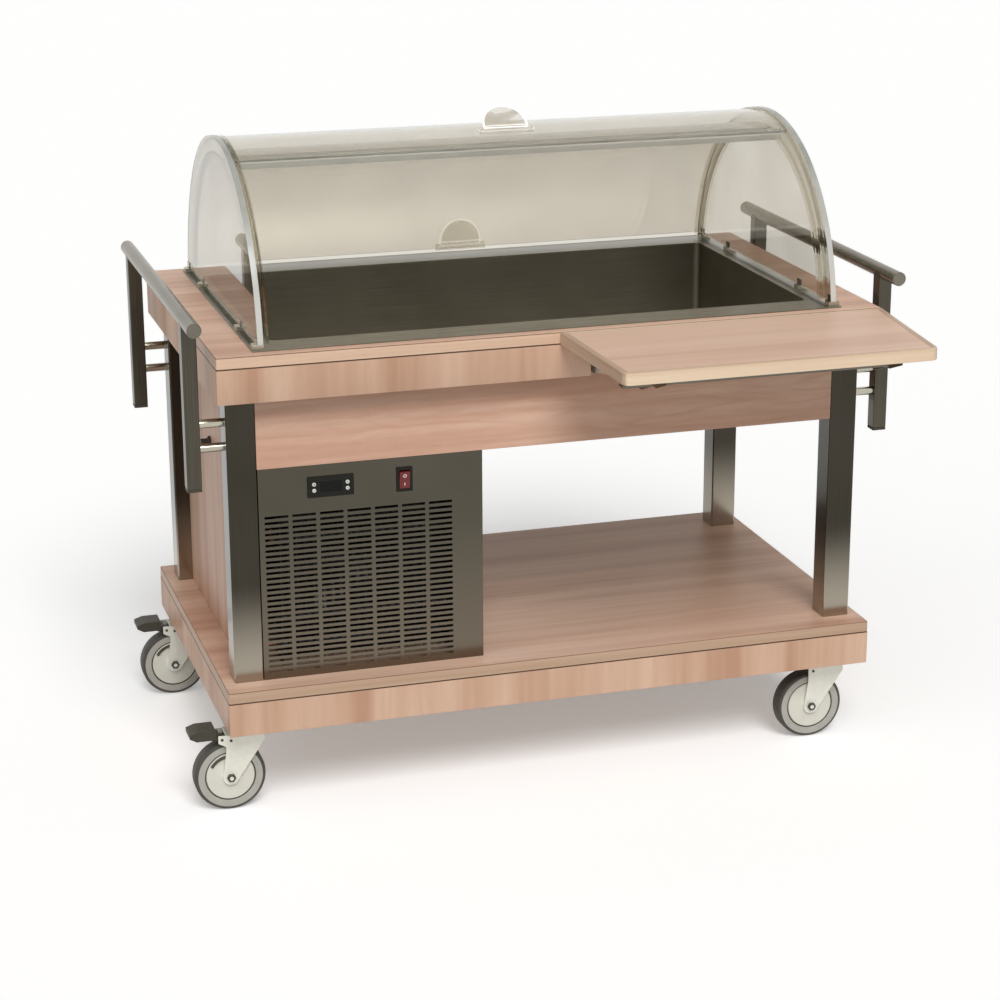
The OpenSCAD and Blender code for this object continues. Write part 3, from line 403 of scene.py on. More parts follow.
leg_steel = brushed_steel("brushed_stainless_leg", "Z", "#3c3930", "#45413a", 0.18, "#a0988a",
                          (0.25, 0.42))
low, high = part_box("legs")
leg_w = 0.050
leg = block("leg_front_left", low, (low[0] + leg_w, low[1] + leg_w, high[2]))
round_edges(leg, 0.003, 4)
soften(leg, 0.0004, 1, 60)
for name, shift in (("leg_front_right", (high[0] - low[0] - leg_w, 0, 0)),
                    ("leg_back_left", (0, high[1] - low[1] - leg_w, 0)),
                    ("leg_back_right", (high[0] - low[0] - leg_w, high[1] - low[1] - leg_w, 0))):
    fit(twin(leg, name, shift), "frame", "steel", (leg_steel,), "legs")
fit(leg, "frame", "steel", (leg_steel,), "legs")

# Aprons and the left side panel: 18 mm veneered boards between the legs. The aprons' beech was cut
# to show a swirling flame figure along them; the side panel's is plainer and stands upright.
flame = ("#e8c6af", "#dcb29a", "#c4967e", 48, 22, 1.8, 0.45)
beech_flame = beech("steamed_beech_flame_veneer", "X", *flame)
beech_flame_cross = beech("steamed_beech_flame_crosswise_veneer", "Y", *flame)
beech_shade = beech("steamed_beech_side_veneer", "Z", "#dcbaa6", "#d0ab95", "#bf9780", 55, 12, 0.6, 0.25)
low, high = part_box("front_apron")
apron = soften(block("front_apron_board", low, high), eased_w)
fit(apron, "frame", "wood", (beech_flame,), "front_apron")
low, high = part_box("aprons")
front_low, front_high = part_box("front_apron")
leg_low, leg_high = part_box("legs")
apron_t = 0.018
edge_boards("aprons", "apron_board_back", (
    ((front_low[0], high[1] - apron_t, low[2]), (front_high[0], high[1], high[2])),
), beech_flame)
edge_boards("aprons", "apron_board_right", (
    ((high[0] - apron_t, leg_low[1] + leg_w, low[2]), (high[0], leg_high[1] - leg_w, high[2])),
), beech_flame_cross)


def carve(piece, *cutters):
    """Takes away what the cutters fill, and then the cutters."""
    for cutter in cutters:
        cutting = piece.modifiers.new("cutting", "BOOLEAN")
        cutting.operation, cutting.solver, cutting.object = "DIFFERENCE", "EXACT", cutter
        pick(piece)
        bpy.ops.object.modifier_apply(modifier="cutting")
        bpy.data.objects.remove(cutter)
    return piece


def disc(name, middle, radius, length, way="Z", sides=48):
    """A round bar along an axis, to be shaped further."""
    turn = {"X": (0, math.pi / 2, 0), "Y": (math.pi / 2, 0, 0), "Z": (0, 0, 0)}[way]
    bpy.ops.object.select_all(action="DESELECT")
    bpy.ops.mesh.primitive_cylinder_add(vertices=sides, radius=radius, depth=length,
                                        location=middle, rotation=turn)
    piece = bpy.context.object
    piece.name = piece.data.name = name
    return settle(piece)


low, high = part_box("left_side_panel")
gland_low, gland_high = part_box("cord_gland")
gland_y = (gland_low[1] + gland_high[1]) / 2
gland_z = (gland_low[2] + gland_high[2]) / 2
gland_hole_r, through = 0.0072, 0.06
side_board = soften(block("left_side_board", low, high), eased_w)
carve(side_board, disc("gland_hole", (low[0], gland_y, gland_z), gland_hole_r, through, "X", 32))
fit(side_board, "frame", "wood", (beech_shade,), "left_side_panel")

# Top board: veneered and lipped like the deck, with the well's opening cut through it, on edge
# boards that match the deck's. The front one is notched for the leaf's braces.
low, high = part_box("top_panel")
well_low, well_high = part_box("well")
well_gap, past = 0.014, 0.01
beech_top = beech("steamed_beech_top_veneer", "X", "#f0cdb6", "#e6bfa7", "#d3a88f")
top_lipping = beech("beech_lipping_top", "X", "#ecccb1", "#e2bea2", "#cfa88b", 30, 6, 0.4)
top_board = lipped_board("top_board", low, high, board_r, lip_w,
                         (beech_top, top_lipping) + deck_finishes[2:])
paint(top_board, 0, lambda middle, out: out.z > 0.999)
paint_seam(top_board, 3, high[2], 1)
paint_seam(top_board, 4, low[2], -1)
opening = block("opening", (well_low[0] - well_gap, well_low[1] - well_gap, low[2] - past),
                (well_high[0] + well_gap, well_high[1] + well_gap, high[2] + past))
carve(top_board, opening)
fit(top_board, "frame", "wood", (), "top_panel")
low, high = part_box("top_rails")
edge_boards("top_rails", "top_edge_board", (
    ((low[0], high[1] - board_t, low[2]), high),
    (low, (low[0] + board_t, high[1] - board_t - joint, high[2])),
    ((high[0] - board_t, low[1], low[2]), (high[0], high[1] - board_t - joint, high[2])),
), beech_upright)
low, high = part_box("top_front_rail")
front_board = soften(block("top_front_edge_board", low, high), eased_edge_w)
front_board.data.materials.append(beech_upright)
front_board.data.materials.append(painted_seam_shade)
paint_seam(front_board, 1, high[2], 1)
notch_half, notch_top = 0.016, 0.7915
for brace in ("brace_left", "brace_right"):
    brace_low, brace_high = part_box(brace)
    middle = (brace_low[0] + brace_high[0]) / 2
    carve(front_board, block("notch", (middle - notch_half, low[1] - past, low[2] - past),
                             (middle + notch_half, high[1] + past, notch_top)))
fit(front_board, "frame", "wood", (), "top_front_rail")

# Cold well: a pan folded and welded from 1.5 mm stainless sheet with rounded corners, lit only from
# above, so it reads dark; its flat 2 mm rim lies on the board. Foam and a copper coil are round it.
well_steel = brushed_steel("brushed_stainless_well", "X", "#858073", "#9b9689", 0.3)
rim_steel = brushed_steel("brushed_stainless_rim", "X", "#747062", "#89857a", 0.28)
low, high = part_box("well")
wall, corner_r, foot_r = 0.0015, 0.012, 0.005
pan = block("well_pan", (low[0] + wall, low[1] + wall, low[2] + wall),
            (high[0] - wall, high[1] - wall, high[2]))
edit(pan, "FACE", lambda middle, out: out.z > 0.9)
bpy.ops.mesh.delete(type="FACE")
bpy.ops.object.mode_set(mode="OBJECT")
round_edges(pan, corner_r, 8)
round_edges(pan, foot_r, 4, lambda middle, way: middle.z < low[2] + 0.003)
sheet = pan.modifiers.new("sheet", "SOLIDIFY")
sheet.thickness, sheet.offset = wall, 1
bpy.ops.object.modifier_apply(modifier="sheet")
drain_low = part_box("drain_pipe")[0]
drain_r, drain_hole_r, drain_hole_l = 0.012, 0.010, 0.02
carve(pan, disc("drain_hole", (drain_low[0] + drain_r, drain_low[1] + drain_r, low[2]),
                drain_hole_r, drain_hole_l))
bpy.ops.object.shade_smooth_by_angle(angle=math.radians(35))
fit(pan, "frame", "steel", (well_steel,), "well")

low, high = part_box("well_rim")
rim = block("well_rim_plate", low, high)
round_edges(rim, 0.003, 3)
mouth = block("mouth", (well_low[0] + wall, well_low[1] + wall, low[2] - past),
              (well_high[0] - wall, well_high[1] - wall, high[2] + past))
round_edges(mouth, corner_r, 8)
carve(rim, mouth)
soften(rim, 0.0005, 2, 50)
fit(rim, "frame", "steel", (rim_steel,), "well_rim")


def mottled(name, size, tones, detail=2.0, **values):
    """A material whose tone wanders between two, in patches of that size in millimetres."""
    made, tree, shader, place = begin(name, **values)
    patches = add(tree, "TexNoise", {"Vector": place, "Scale": 1000 / size, "Detail": detail})
    mixed = add(tree, "Mix", {"Factor": patches.outputs["Fac"], "A": linear(tones[0]),
                              "B": linear(tones[1])}, data_type="RGBA")
    tree.links.new(mixed.outputs["Result"], shader.inputs["Base Color"])
    return made


# Copper tube, drawn and bent: a brown patina in soft patches.
copper = mottled("copper_tube", 25, ("#5f3d2a", "#80553b"), 4.0, Metallic=1.0, Roughness=0.3)
dress(copper, "refrigerant_pipes", "evaporator")
# Polyurethane foam, blown in place: dull and yellowish, with cells that show close up.
foam, tree, shader, place = begin("polyurethane_foam", Roughness=0.9)
cells = add(tree, "TexVoronoi", {"Vector": place, "Scale": 1000 / 2.5})
tones = add(tree, "Mix", {"Factor": cells.outputs["Distance"], "A": linear("#d8c68f"),
                          "B": linear("#c2ac74")}, data_type="RGBA")
tree.links.new(tones.outputs["Result"], shader.inputs["Base Color"])
dress(foam, "insulation")

# Dome ends: half discs of 10 mm clear cast acrylic, saw cut and flame polished; the thin edge is painted
# pale, as painted reflection. They stand in small steel clips screwed to the rim.
def clear_acrylic(name, tone, ior=1.49):
    """Clear cast acrylic. Light passes it on its way to what is behind, a little tinted."""
    return mottled(name, 140, (tone, "#e2ded6"), Roughness=0.02, IOR=ior, Transmission_Weight=1.0)


cover_acrylic = clear_acrylic("clear_cast_acrylic_cover", "#eae6de")
panel_acrylic = clear_acrylic("clear_cast_acrylic_panel", "#c2bbae")
# The guides are cemented flush to the ends, so their faces there bend no light and hardly show.
guide_acrylic = clear_acrylic("clear_cast_acrylic_guide", "#f6f6f0", ior=1.02)
# The cut edge is flame polished. Its colour is painted white low down and grey near the crown: painted
# reflection of the white studio and of darker things near the crown.
cut_edge, tree, shader, place = begin("flame_polished_acrylic_edge", Roughness=0.2, IOR=1.49,
                                      Transmission_Weight=0.3)
level = add(tree, "SeparateXYZ", {"Vector": place})
streaks = add(tree, "TexNoise", {"Vector": place, "Scale": 1000 / 60, "Detail": 3.0})
rise = add(tree, "MapRange", {"Value": level.outputs["Z"], "From Min": 0.86, "From Max": 1.1,
                              "To Min": 0.1, "To Max": 1.4}, interpolation_type="SMOOTHSTEP")
painted_reflection_factor = add(tree, "Math", {0: rise.outputs[0], 1: streaks.outputs["Fac"]}, operation="MULTIPLY")
tones = add(tree, "Mix", {"Factor": painted_reflection_factor.outputs[0], "A": linear("#f4f4ee"), "B": linear("#a9aba0")},
            data_type="RGBA")
tree.links.new(tones.outputs["Result"], shader.inputs["Base Color"])

low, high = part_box("end_panels")
dome_y, dome_z = (low[1] + high[1]) / 2, 0.800
dome_r = high[2] - dome_z
panel_t = 0.010
end = disc("dome_end_left", (low[0] + panel_t / 2, dome_y, dome_z), dome_r, panel_t, "X", 180)
end.data.materials.append(panel_acrylic)
end.data.materials.append(cut_edge)
edit(end, "FACE", lambda middle, out: True)
bpy.ops.mesh.bisect(plane_co=(0, 0, low[2]), plane_no=(0, 0, 1), use_fill=True, clear_inner=True)
bpy.ops.object.mode_set(mode="OBJECT")
paint(end, 1, lambda middle, out: abs(out.x) < 0.5)
soften(end, 0.0004, 2, 50)
fit(twin(end, "dome_end_right", (high[0] - low[0] - panel_t, 0, 0)), "frame", "acrylic", (), "end_panels")
fit(end, "frame", "acrylic", (), "end_panels")


def reworked(node, name, rounding=0.0006, angle=30):
    """A copy of a CAD node with its triangles joined and its edges softly broken."""
    piece = twin(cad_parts[node], name, (0, 0, 0))
    for key in list(piece.keys()):
        if key.startswith("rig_"):
            del piece[key]
    piece.data.materials.clear()
    for face in piece.data.polygons:
        face.material_index = 0
    edit(piece, "FACE", lambda middle, out: True)
    bpy.ops.mesh.select_all(action="SELECT")
    bpy.ops.mesh.remove_doubles(threshold=0.00002)
    bpy.ops.mesh.dissolve_limited(angle_limit=math.radians(2))
    bpy.ops.object.mode_set(mode="OBJECT")
    return soften(piece, rounding, 2, angle)


clips = reworked("panel_clips", "panel_foot_clips", 0.0003)
clip_steel = brushed_steel("brushed_stainless_clip", "X", "#aaa698", "#c0bcae", 0.25)
fit(clips, "frame", "steel", (clip_steel,), "panel_clips")

# Guides: 10 mm clear acrylic arches cemented inside the ends, each with two grooves milled in it
# for the edges of the covers to run in.
guides = reworked("cover_guides", "cover_guide_arches", 0.0002)
fit(guides, "frame", "acrylic", (guide_acrylic,), "cover_guides")

# Covers: two 4 mm acrylic sheets, heat formed to arcs that roll round the dome's axis, each with a
# square acrylic bar glued under its front edge and a finger handle with two screws.
cover_t = 0.004


def formed_sheet(node, name, from_angle, to_angle):
    """A sheet spun round the dome's axis between two angles forward of the crown."""
    low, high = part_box(node)
    axis = Vector(((low[0] + high[0]) / 2, dome_y, dome_z))
    radius = high[2] - dome_z - cover_t / 2
    start = math.radians(from_angle)
    away = Vector((0, -radius * math.sin(start), radius * math.cos(start)))
    bpy.ops.object.select_all(action="DESELECT")
    bpy.ops.mesh.primitive_plane_add(size=1, location=axis + away, rotation=(start + math.pi / 2, 0, 0))
    piece = bpy.context.object
    piece.scale = (high[0] - low[0], cover_t, 1)
    piece.name = piece.data.name = name
    settle(piece)
    edit(piece, "FACE", lambda middle, out: True)
    bpy.ops.mesh.spin(steps=int(abs(to_angle - from_angle) * 0.8), angle=math.radians(from_angle - to_angle),
                      center=axis, axis=(1, 0, 0))
    bpy.ops.mesh.select_all(action="SELECT")
    bpy.ops.mesh.remove_doubles(threshold=0.00002)
    bpy.ops.mesh.normals_make_consistent(inside=False)
    bpy.ops.object.mode_set(mode="OBJECT")
    piece.data.materials.append(cover_acrylic)
    piece.data.materials.append(cut_edge)

    def is_rim(middle, out):
        outwards = Vector((0, middle.y - axis.y, middle.z - axis.z)).normalized()
        return abs(out.dot(outwards)) < 0.5

    paint(piece, 1, is_rim)
    return soften(piece, 0.0005, 2, 50)


back_angle = -84
for node, front_angle in (("front_cover", 20.5), ("rear_cover", 8)):
    fit(formed_sheet(node, node + "_sheet", back_angle, front_angle), node, "acrylic", (), node)
# The bars' outer faces are extruded acrylic, polished. Their front faces and ends are painted half white:
# painted reflection of the white studio.
rod_painted_reflection = mottled("polished_acrylic_rod_painted_reflection", 80, ("#f4f3ec", "#dcdbd0"), Roughness=0.12, IOR=1.49,
                     Transmission_Weight=0.5)
for node, body in (("front_cover_bar", "front_cover"), ("rear_cover_bar", "rear_cover")):
    bar = reworked(node, node + "_rod", 0.0008)
    bar.data.materials.append(guide_acrylic)
    bar.data.materials.append(rod_painted_reflection)
    # Painted reflection on the bar's front faces and ends.
    paint(bar, 1, lambda middle, out: out.y < -0.5 or abs(out.x) > 0.5)
    fit(bar, body, "acrylic", (), node)
# A handle's polished rim, and a band of each face beside it, are painted white with a weak painted glow:
# painted light at the rim.
rim_painted_glow = mottled("polished_acrylic_rim_painted_glow", 12, ("#ffffff", "#f0f0ea"), Roughness=0.15, IOR=1.49,
                    Transmission_Weight=0.25, Emission_Color=linear("#f4f2ea"), Emission_Strength=0.5)
painted_glow_band_w = 0.0028
for node, body in (("front_cover_handle", "front_cover"), ("rear_cover_handle", "rear_cover")):
    grip = reworked(node, node + "_plate", 0.0004)
    grip.data.materials.append(cover_acrylic)
    grip.data.materials.append(rim_painted_glow)
    flat = max(grip.data.polygons, key=lambda face: face.area).normal.copy()
    paint(grip, 1, lambda middle, out: abs(out.dot(flat)) < 0.5)
    # Painted glow: a band of each flat face beside the rim gets the rim's white finish.
    edit(grip, "FACE", lambda middle, out: abs(out.dot(flat)) > 0.9995)
    grip.active_material_index = 1
    bpy.ops.object.material_slot_assign()
    bpy.ops.mesh.inset(thickness=painted_glow_band_w, depth=0)
    paint(grip, 0)
    fit(grip, body, "acrylic", (), node)

# Drop leaf: a lipped board like the top, narrower at its front edge, with rounded front corners. It
# hangs on three steel butt hinges and rests open on two channels that steel braces hold up.
beech_leaf = beech("steamed_beech_leaf_veneer", "X", "#efcdb6", "#e8c3ab", "#dbb29a", 60, 14, 0.7, 0.15)
leaf_lipping = beech("beech_lipping_leaf", "X", "#f8dfc2", "#efd3b5", "#debc9c", 30, 6, 0.4)
low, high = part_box("leaf")
leaf_corner_r, leaf_lip_w, leaf_taper = 0.014, 0.010, (0.010, 0.034)
leaf = lipped_board("leaf_board", low, high, leaf_corner_r, leaf_lip_w,
                    (beech_leaf, leaf_lipping, lipping_cross, glue_line), leaf_taper)
fit(leaf, "leaf", "wood", (), "leaf")
steel_across = brushed_steel("brushed_stainless_crosswise", "Y", "#605c52", "#757166", 0.3)
steel_along = brushed_steel("brushed_stainless_lengthwise", "X", "#6d6a62", "#86827a", 0.3)
for node, name, eased, body, finish in (
        ("leaf_arms", "leaf_channels", 0.0004, "leaf", steel_across),
        ("hinge_moving_leaves", "hinge_leaves_moving", 0.0002, "leaf", steel_along),
        ("hinge_fixed_leaves", "hinge_leaves_fixed", 0.0002, "frame", steel_along),
        ("wall_brackets", "brace_wall_brackets", 0.0003, "frame", steel_along)):
    fit(reworked(node, name, eased), body, "steel", (finish,), node)

# Braces: two steel bars with rounded ends, each pinned at its foot to a wall bracket and leaning out
# to hold up a channel. They are zinc plated, like the casters' pressed parts.
# Zinc plate: a pale grey, dull and a little warm, with a fine spangle.
zinc = mottled("zinc_plate", 9, ("#dddccf", "#eeeee3"), 3.0, Metallic=0.4, Roughness=0.42)
for brace in ("brace_left", "brace_right"):
    fit(reworked(brace, brace + "_bar", 0.0008), brace, "zinc", (zinc,), brace)

# Push handles: a 25 mm round tube with welded end discs on two square uprights, held off the legs by
# bright round rods. Brushed along each part, with black plastic caps under the uprights.
# The tube and the posts are the same steel in two tones, the upright posts darker: painted reflection.
tube_steel = brushed_steel("brushed_stainless_tube", "Y", "#69655b", "#857f73", 0.24)
post_steel = brushed_steel("brushed_stainless_post", "Z", "#4c483f", "#5d584e", 0.28)
rod_steel = brushed_steel("polished_stainless_rod", "X", "#a9a596", "#c6c2b4", 0.16)
low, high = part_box("push_handles")
post_w, rod_r, rail_r = 0.025, 0.0075, 0.0125
rail_z, stub_z, stub_pitch = 0.868, 0.651, 0.042
cap_low, cap_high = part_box("handle_caps")
rail = disc("push_rail_left", (low[0] + rail_r, (low[1] + high[1]) / 2, rail_z), rail_r,
            high[1] - low[1], "Y", 64)
edit(rail, "FACE", lambda middle, out: abs(out.y) > 0.9)
bpy.ops.mesh.inset(thickness=0.0012, depth=0)
bpy.ops.mesh.inset(thickness=0.0004, depth=-0.0004)
bpy.ops.object.mode_set(mode="OBJECT")
soften(rail, 0.0004, 2, 50)
post = block("push_post", (low[0], cap_low[1], low[2]), (low[0] + post_w, cap_low[1] + post_w, rail_z))
soften(post, 0.0015, 3)
stub = disc("push_stub", ((low[0] + post_w + leg_low[0]) / 2, cap_low[1] + post_w / 2, stub_z), rod_r,
            leg_low[0] - low[0] - post_w, "X", 48)
soften(stub, 0.0003, 1, 50)
span = cap_high[1] - cap_low[1] - post_w
across = high[0] - low[0]
for side_name, shift, stub_shift in (("left", 0, 0),
                                     ("right", across - post_w, leg_high[0] - low[0] - post_w)):
    fit(twin(rail, "push_rail_" + side_name, (shift, 0, 0)), "frame", "steel", (tube_steel,), "push_handles")
    for end_name, along in (("front", 0), ("back", span)):
        corner_name = side_name + "_" + end_name
        fit(twin(post, "push_post_" + corner_name, (shift, along, 0)), "frame", "steel", (post_steel,),
            "push_handles")
        for level_name, lift in (("low", 0), ("high", stub_pitch)):
            fit(twin(stub, "push_stub_" + corner_name + "_" + level_name, (stub_shift, along, lift)),
                "frame", "steel", (rod_steel,), "push_handles")
for trial in (rail, post, stub):
    bpy.data.objects.remove(trial)
# Black nylon from a mould with a fine leather grain: a dull charcoal that scatters the light.
black_nylon, tree, shader, place = begin("black_moulded_nylon", Roughness=0.5, Specular_IOR_Level=0.25)
grit = add(tree, "TexNoise", {"Vector": place, "Scale": 1000 / 0.8, "Detail": 2.0})
tones = add(tree, "Mix", {"Factor": grit.outputs["Fac"], "A": linear("#3b3830"), "B": linear("#4e4b41")},
            data_type="RGBA")
tree.links.new(tones.outputs["Result"], shader.inputs["Base Color"])
leather_grain = add(tree, "Bump", {"Height": grit.outputs["Fac"], "Strength": 0.15, "Distance": 0.0002})
tree.links.new(leather_grain.outputs[0], shader.inputs["Normal"])
for node, name, eased in (("handle_caps", "handle_end_caps", 0.001),
                          ("cord_gland", "cord_gland_nut", 0.0006)):
    fit(reworked(node, name, eased), "frame", "black_plastic", (black_nylon,), node)

# Casters: a pressed zinc-plated top plate and fork, and a grey rubber tyre on a pale nylon wheel
# with a flat cover, turning on a bolt. Four are alike but for the left pair's brakes.
fit(reworked("caster_plates", "caster_top_plates", 0.0006), "frame", "zinc", (zinc,), "caster_plates")
# Grey rubber, moulded: the tread is scuffed dark by the floor, and the sides have a pale dusty bloom.
tread_rubber = mottled("grey_rubber_tread", 14, ("#383630", "#4f4c45"), 5.0, Roughness=0.62)
side_rubber = mottled("grey_rubber_sidewall", 18, ("#a8a59c", "#bfbcb3"), 5.0, Roughness=0.5)
# Pale nylon, moulded: an even warm white with a soft sheen.
pale_nylon = mottled("pale_nylon_wheel_centre", 22, ("#dad8ca", "#e8e6da"), 3.0, Roughness=0.4)
wheel_r, half_w, shoulder, hub_out, bore_r = 0.0625, 0.016, 0.005, 0.0187, 0.00405
low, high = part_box("wheel_front_left")
axle_x, axle_y = high[0] - wheel_r, (low[1] + high[1]) / 2
wheel = disc("wheel_pattern", (axle_x, axle_y, wheel_r), wheel_r, 2 * (half_w - shoulder), "Y", 96)
for material in (tread_rubber, side_rubber, pale_nylon, black_nylon):
    wheel.data.materials.append(material)
edit(wheel, "FACE", lambda middle, out: abs(out.y) > 0.9)
# The rings of a side, from the tread to the axle cover: width, step outwards and finish from there in.
for ring, out_by, finish in ((0.0006, 0.0018, 0), (0.0018, 0.0022, 0), (0.0036, 0.0010, 1),
                             (0.0060, -0.0006, 1), (0.0050, 0.0004, 1), (0.0008, -0.0012, 3),
                             (0.0022, -0.0008, 2), (0.0010, 0.0018, 2), (0.0140, 0.0006, 2),
                             (0.0110, 0.0006, 2), (0.0020, 0.0010, 2)):
    bpy.ops.mesh.inset(thickness=ring, depth=out_by, use_even_offset=True)
    wheel.active_material_index = finish
    bpy.ops.object.material_slot_assign()
bpy.ops.object.mode_set(mode="OBJECT")
reach = max(v.co.y for v in wheel.data.vertices) - axle_y
edit(wheel, "FACE", lambda middle, out: abs(middle.y - axle_y) > reach - 0.0002 and abs(out.y) > 0.9)
bpy.ops.mesh.inset(thickness=0.0008, depth=hub_out - reach, use_even_offset=True)
bpy.ops.object.mode_set(mode="OBJECT")
bpy.ops.object.shade_smooth_by_angle(angle=math.radians(28))
carve(wheel, disc("axle_bore", (axle_x, axle_y, wheel_r), bore_r, through, "Y", 32))
for corner in ("front_left", "front_right", "back_left", "back_right"):
    node = "wheel_" + corner
    node_low, node_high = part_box(node)
    shift = (node_high[0] - high[0], (node_low[1] + node_high[1]) / 2 - axle_y, 0)
    fit(twin(wheel, node + "_tyre_and_centre", shift), node, "tyre", (), node)
bpy.data.objects.remove(wheel)

# Forks: each is one bent zinc-plated pressing with dark rivets high on its cheeks and a bolt for the
# axle. The left pair has an ear behind, for the brake, whose dark pressed arcs lie beside the tyre.
cheek_out, rivet_r, rivet_l = 0.022, 0.0026, 0.0022
nut_out, bolt_r, bolt_l = 0.027, 0.0036, 0.0016
swivel_r, trail = 0.021, 0.040
shoe_out, shoe_r, shoe_in_r, shoe_t = 0.0180, 0.0412, 0.0360, 0.0012
shoe_from, shoe_to = 96, 148
# Black oxide on steel: a satin brown black, a little blotchy. On the zinc hex heads of the axle it is
# painted shade.
black_oxide_and_painted_shade = mottled("black_oxide_bolt_steel", 3, ("#3c3a34", "#5a574f"), 3.0, Metallic=0.5, Roughness=0.4)
for corner in ("front_left", "front_right", "back_left", "back_right"):
    node = "fork_" + corner
    fork = reworked(node, node + "_pressing", 0.0009)
    fork.data.materials.append(zinc)
    fork.data.materials.append(black_oxide_and_painted_shade)
    node_low, node_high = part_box(node)
    axle = node_high[0] - swivel_r - trail
    middle = (node_low[1] + node_high[1]) / 2
    # Painted shade: the zinc hex heads of the axle get the dark finish.
    paint(fork, 1, lambda at, out: abs(at.y - middle) > cheek_out + 0.0003 and abs(at.z - wheel_r) < 0.010)
    fit(fork, node, "zinc", (), node)
    rivets = [("top", 0.002, 0.131)]
    if corner.endswith("left"):
        rivets.append(("ear", -0.0135, 0.134))
    for place_name, along, level in rivets:
        for side_name, way in (("near", -1), ("far", 1)):
            rivet = disc(node + "_rivet_" + place_name + "_" + side_name,
                         (axle + along, middle + way * cheek_out, level), rivet_r, rivet_l, "Y", 20)
            fit(soften(rivet, 0.0006, 2, 40), node, "zinc", (black_oxide_and_painted_shade,))
    for side_name, way in (("near", -1), ("far", 1)):
        if corner.endswith("left"):
            shoe = disc(node + "_brake_shoe_" + side_name, (axle, middle + way * shoe_out, wheel_r),
                        shoe_r, shoe_t, "Y", 72)
            carve(shoe, disc("eye", (axle, middle, wheel_r), shoe_in_r, through, "Y", 72))
            for turn, keep in ((shoe_from, 1), (shoe_to, -1)):
                edit(shoe, "FACE", lambda at, out: True)
                ray = math.radians(turn)
                bpy.ops.mesh.bisect(plane_co=(axle, middle, wheel_r), use_fill=True, clear_inner=True,
                                    plane_no=(-keep * math.sin(ray), 0, keep * math.cos(ray)))
                bpy.ops.object.mode_set(mode="OBJECT")
            fit(soften(shoe, 0.0002, 1), node, "zinc", (black_oxide_and_painted_shade,))
        bolt_end = disc(node + "_bolt_end_" + side_name, (axle, middle + way * nut_out, wheel_r),
                        bolt_r, bolt_l, "Y", 24)
        fit(soften(bolt_end, 0.0005, 2, 40), node, "zinc", (zinc,))

# Brake pedals: black nylon mouldings on the left pair of casters, pinned across the fork's ears,
# with four low ribs moulded across the toe for grip.
rib_at, rib_pitch, rib_w, rib_half, rib_sunk, rib_proud = 0.018, 0.007, 0.002, 0.017, 0.0010, 0.0006
for side_name in ("front", "back"):
    node = "pedal_" + side_name
    low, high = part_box(node)
    middle = (low[1] + high[1]) / 2
    for n in range(4):
        rib_x = low[0] + rib_at + n * rib_pitch
        rib = block(node + "_rib_" + str(n + 1), (rib_x, middle - rib_half, high[2] - rib_sunk),
                    (rib_x + rib_w, middle + rib_half, high[2] + rib_proud))
        fit(soften(rib, 0.0004, 2), node, "black_plastic", (black_nylon,))
    fit(reworked(node, node + "_moulding", 0.0012), node, "black_plastic", (black_nylon,), node)

# Cooling unit: the front is one brushed stainless sheet, punched with seven columns of slots and
# folded back at its left edge; the casing behind it is plainer sheet with pressed louvre hoods.
# The front sheet's dark tone is painted reflection, painted paler low down as painted reflection of the deck
# in front of it.
front_steel = brushed_steel("brushed_stainless_front", "X", "#524e44", "#59554b", 0.2, "#70675a",
                            (0.23, 0.55))
casing_steel = brushed_steel("brushed_stainless_casing", "Y", "#55524a", "#626058", 0.36)
fit(reworked("cooling_front", "cooling_front_sheet", 0.00015, 60), "frame", "steel", (front_steel,),
    "cooling_front")
fit(reworked("cooling_casing", "cooling_casing_sheets", 0.0002, 60), "frame", "steel", (casing_steel,),
    "cooling_casing")
low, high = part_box("cooling_casing")
hood_t, hood_out, hood_h, hood_pitch, hoods = 0.0008, 0.0085, 0.013, 0.022, 12
hood_z, hood_x, flange, hood_sunk = low[2] + 0.020, low[0] + 0.158, 0.014, 0.0005
hood = block("casing_louvre_1", (hood_x, high[1] - hood_sunk, hood_z),
             (high[0] - flange, high[1] + hood_out, hood_z + hood_h))
for corner in hood.data.vertices:
    if corner.co.y > high[1] + hood_out / 2 and corner.co.z > hood_z + hood_h / 2:
        corner.co.y = high[1] + hood_sunk
edit(hood, "FACE", lambda middle, out: out.z < -0.9 or out.y < -0.9)
bpy.ops.mesh.delete(type="FACE")
bpy.ops.object.mode_set(mode="OBJECT")
sheet = hood.modifiers.new("sheet", "SOLIDIFY")
sheet.thickness, sheet.offset = hood_t, -1
bpy.ops.object.modifier_apply(modifier="sheet")
soften(hood, 0.0002, 1, 50)
for n in range(1, hoods):
    fit(twin(hood, "casing_louvre_" + str(n + 1), (0, 0, n * hood_pitch)), "frame", "steel", (casing_steel,))
fit(hood, "frame", "steel", (casing_steel,))
# Aluminium as it leaves the mill: a dull bright grey with soft patches.
dull_metal = mottled("mill_finish_aluminium", 6, ("#8f8f8a", "#b0b0aa"), 3.0, Metallic=1.0, Roughness=0.42)
# Stove enamel, sprayed and baked: a glossy near black with a faint orange peel.
black_paint = mottled("black_stove_enamel", 3, ("#1d1d1c", "#2b2b29"), Roughness=0.3)
dress(dull_metal, "fan_motor", "fan_rotor", "drain_pipe")
dress(black_paint, "compressor", "condenser", "fan_shroud")

# Controller: a moulded black ABS bezel round a smoked window, with two pale silicone buttons on
# each side, each with a dark mark. The window is dark and empty, as the unit is off.
window_w, window_h, window_in, window_out = 0.0378, 0.0188, 0.0008, 0.0003
# Black ABS, moulded with a fine spark grain: nearly black and matt.
black_abs = mottled("black_moulded_abs", 0.8, ("#191814", "#262420"), Roughness=0.45,
                    Specular_IOR_Level=0.15)
fit(reworked("controller", "controller_bezel", 0.0010), "frame", "black_plastic", (black_abs,), "controller")
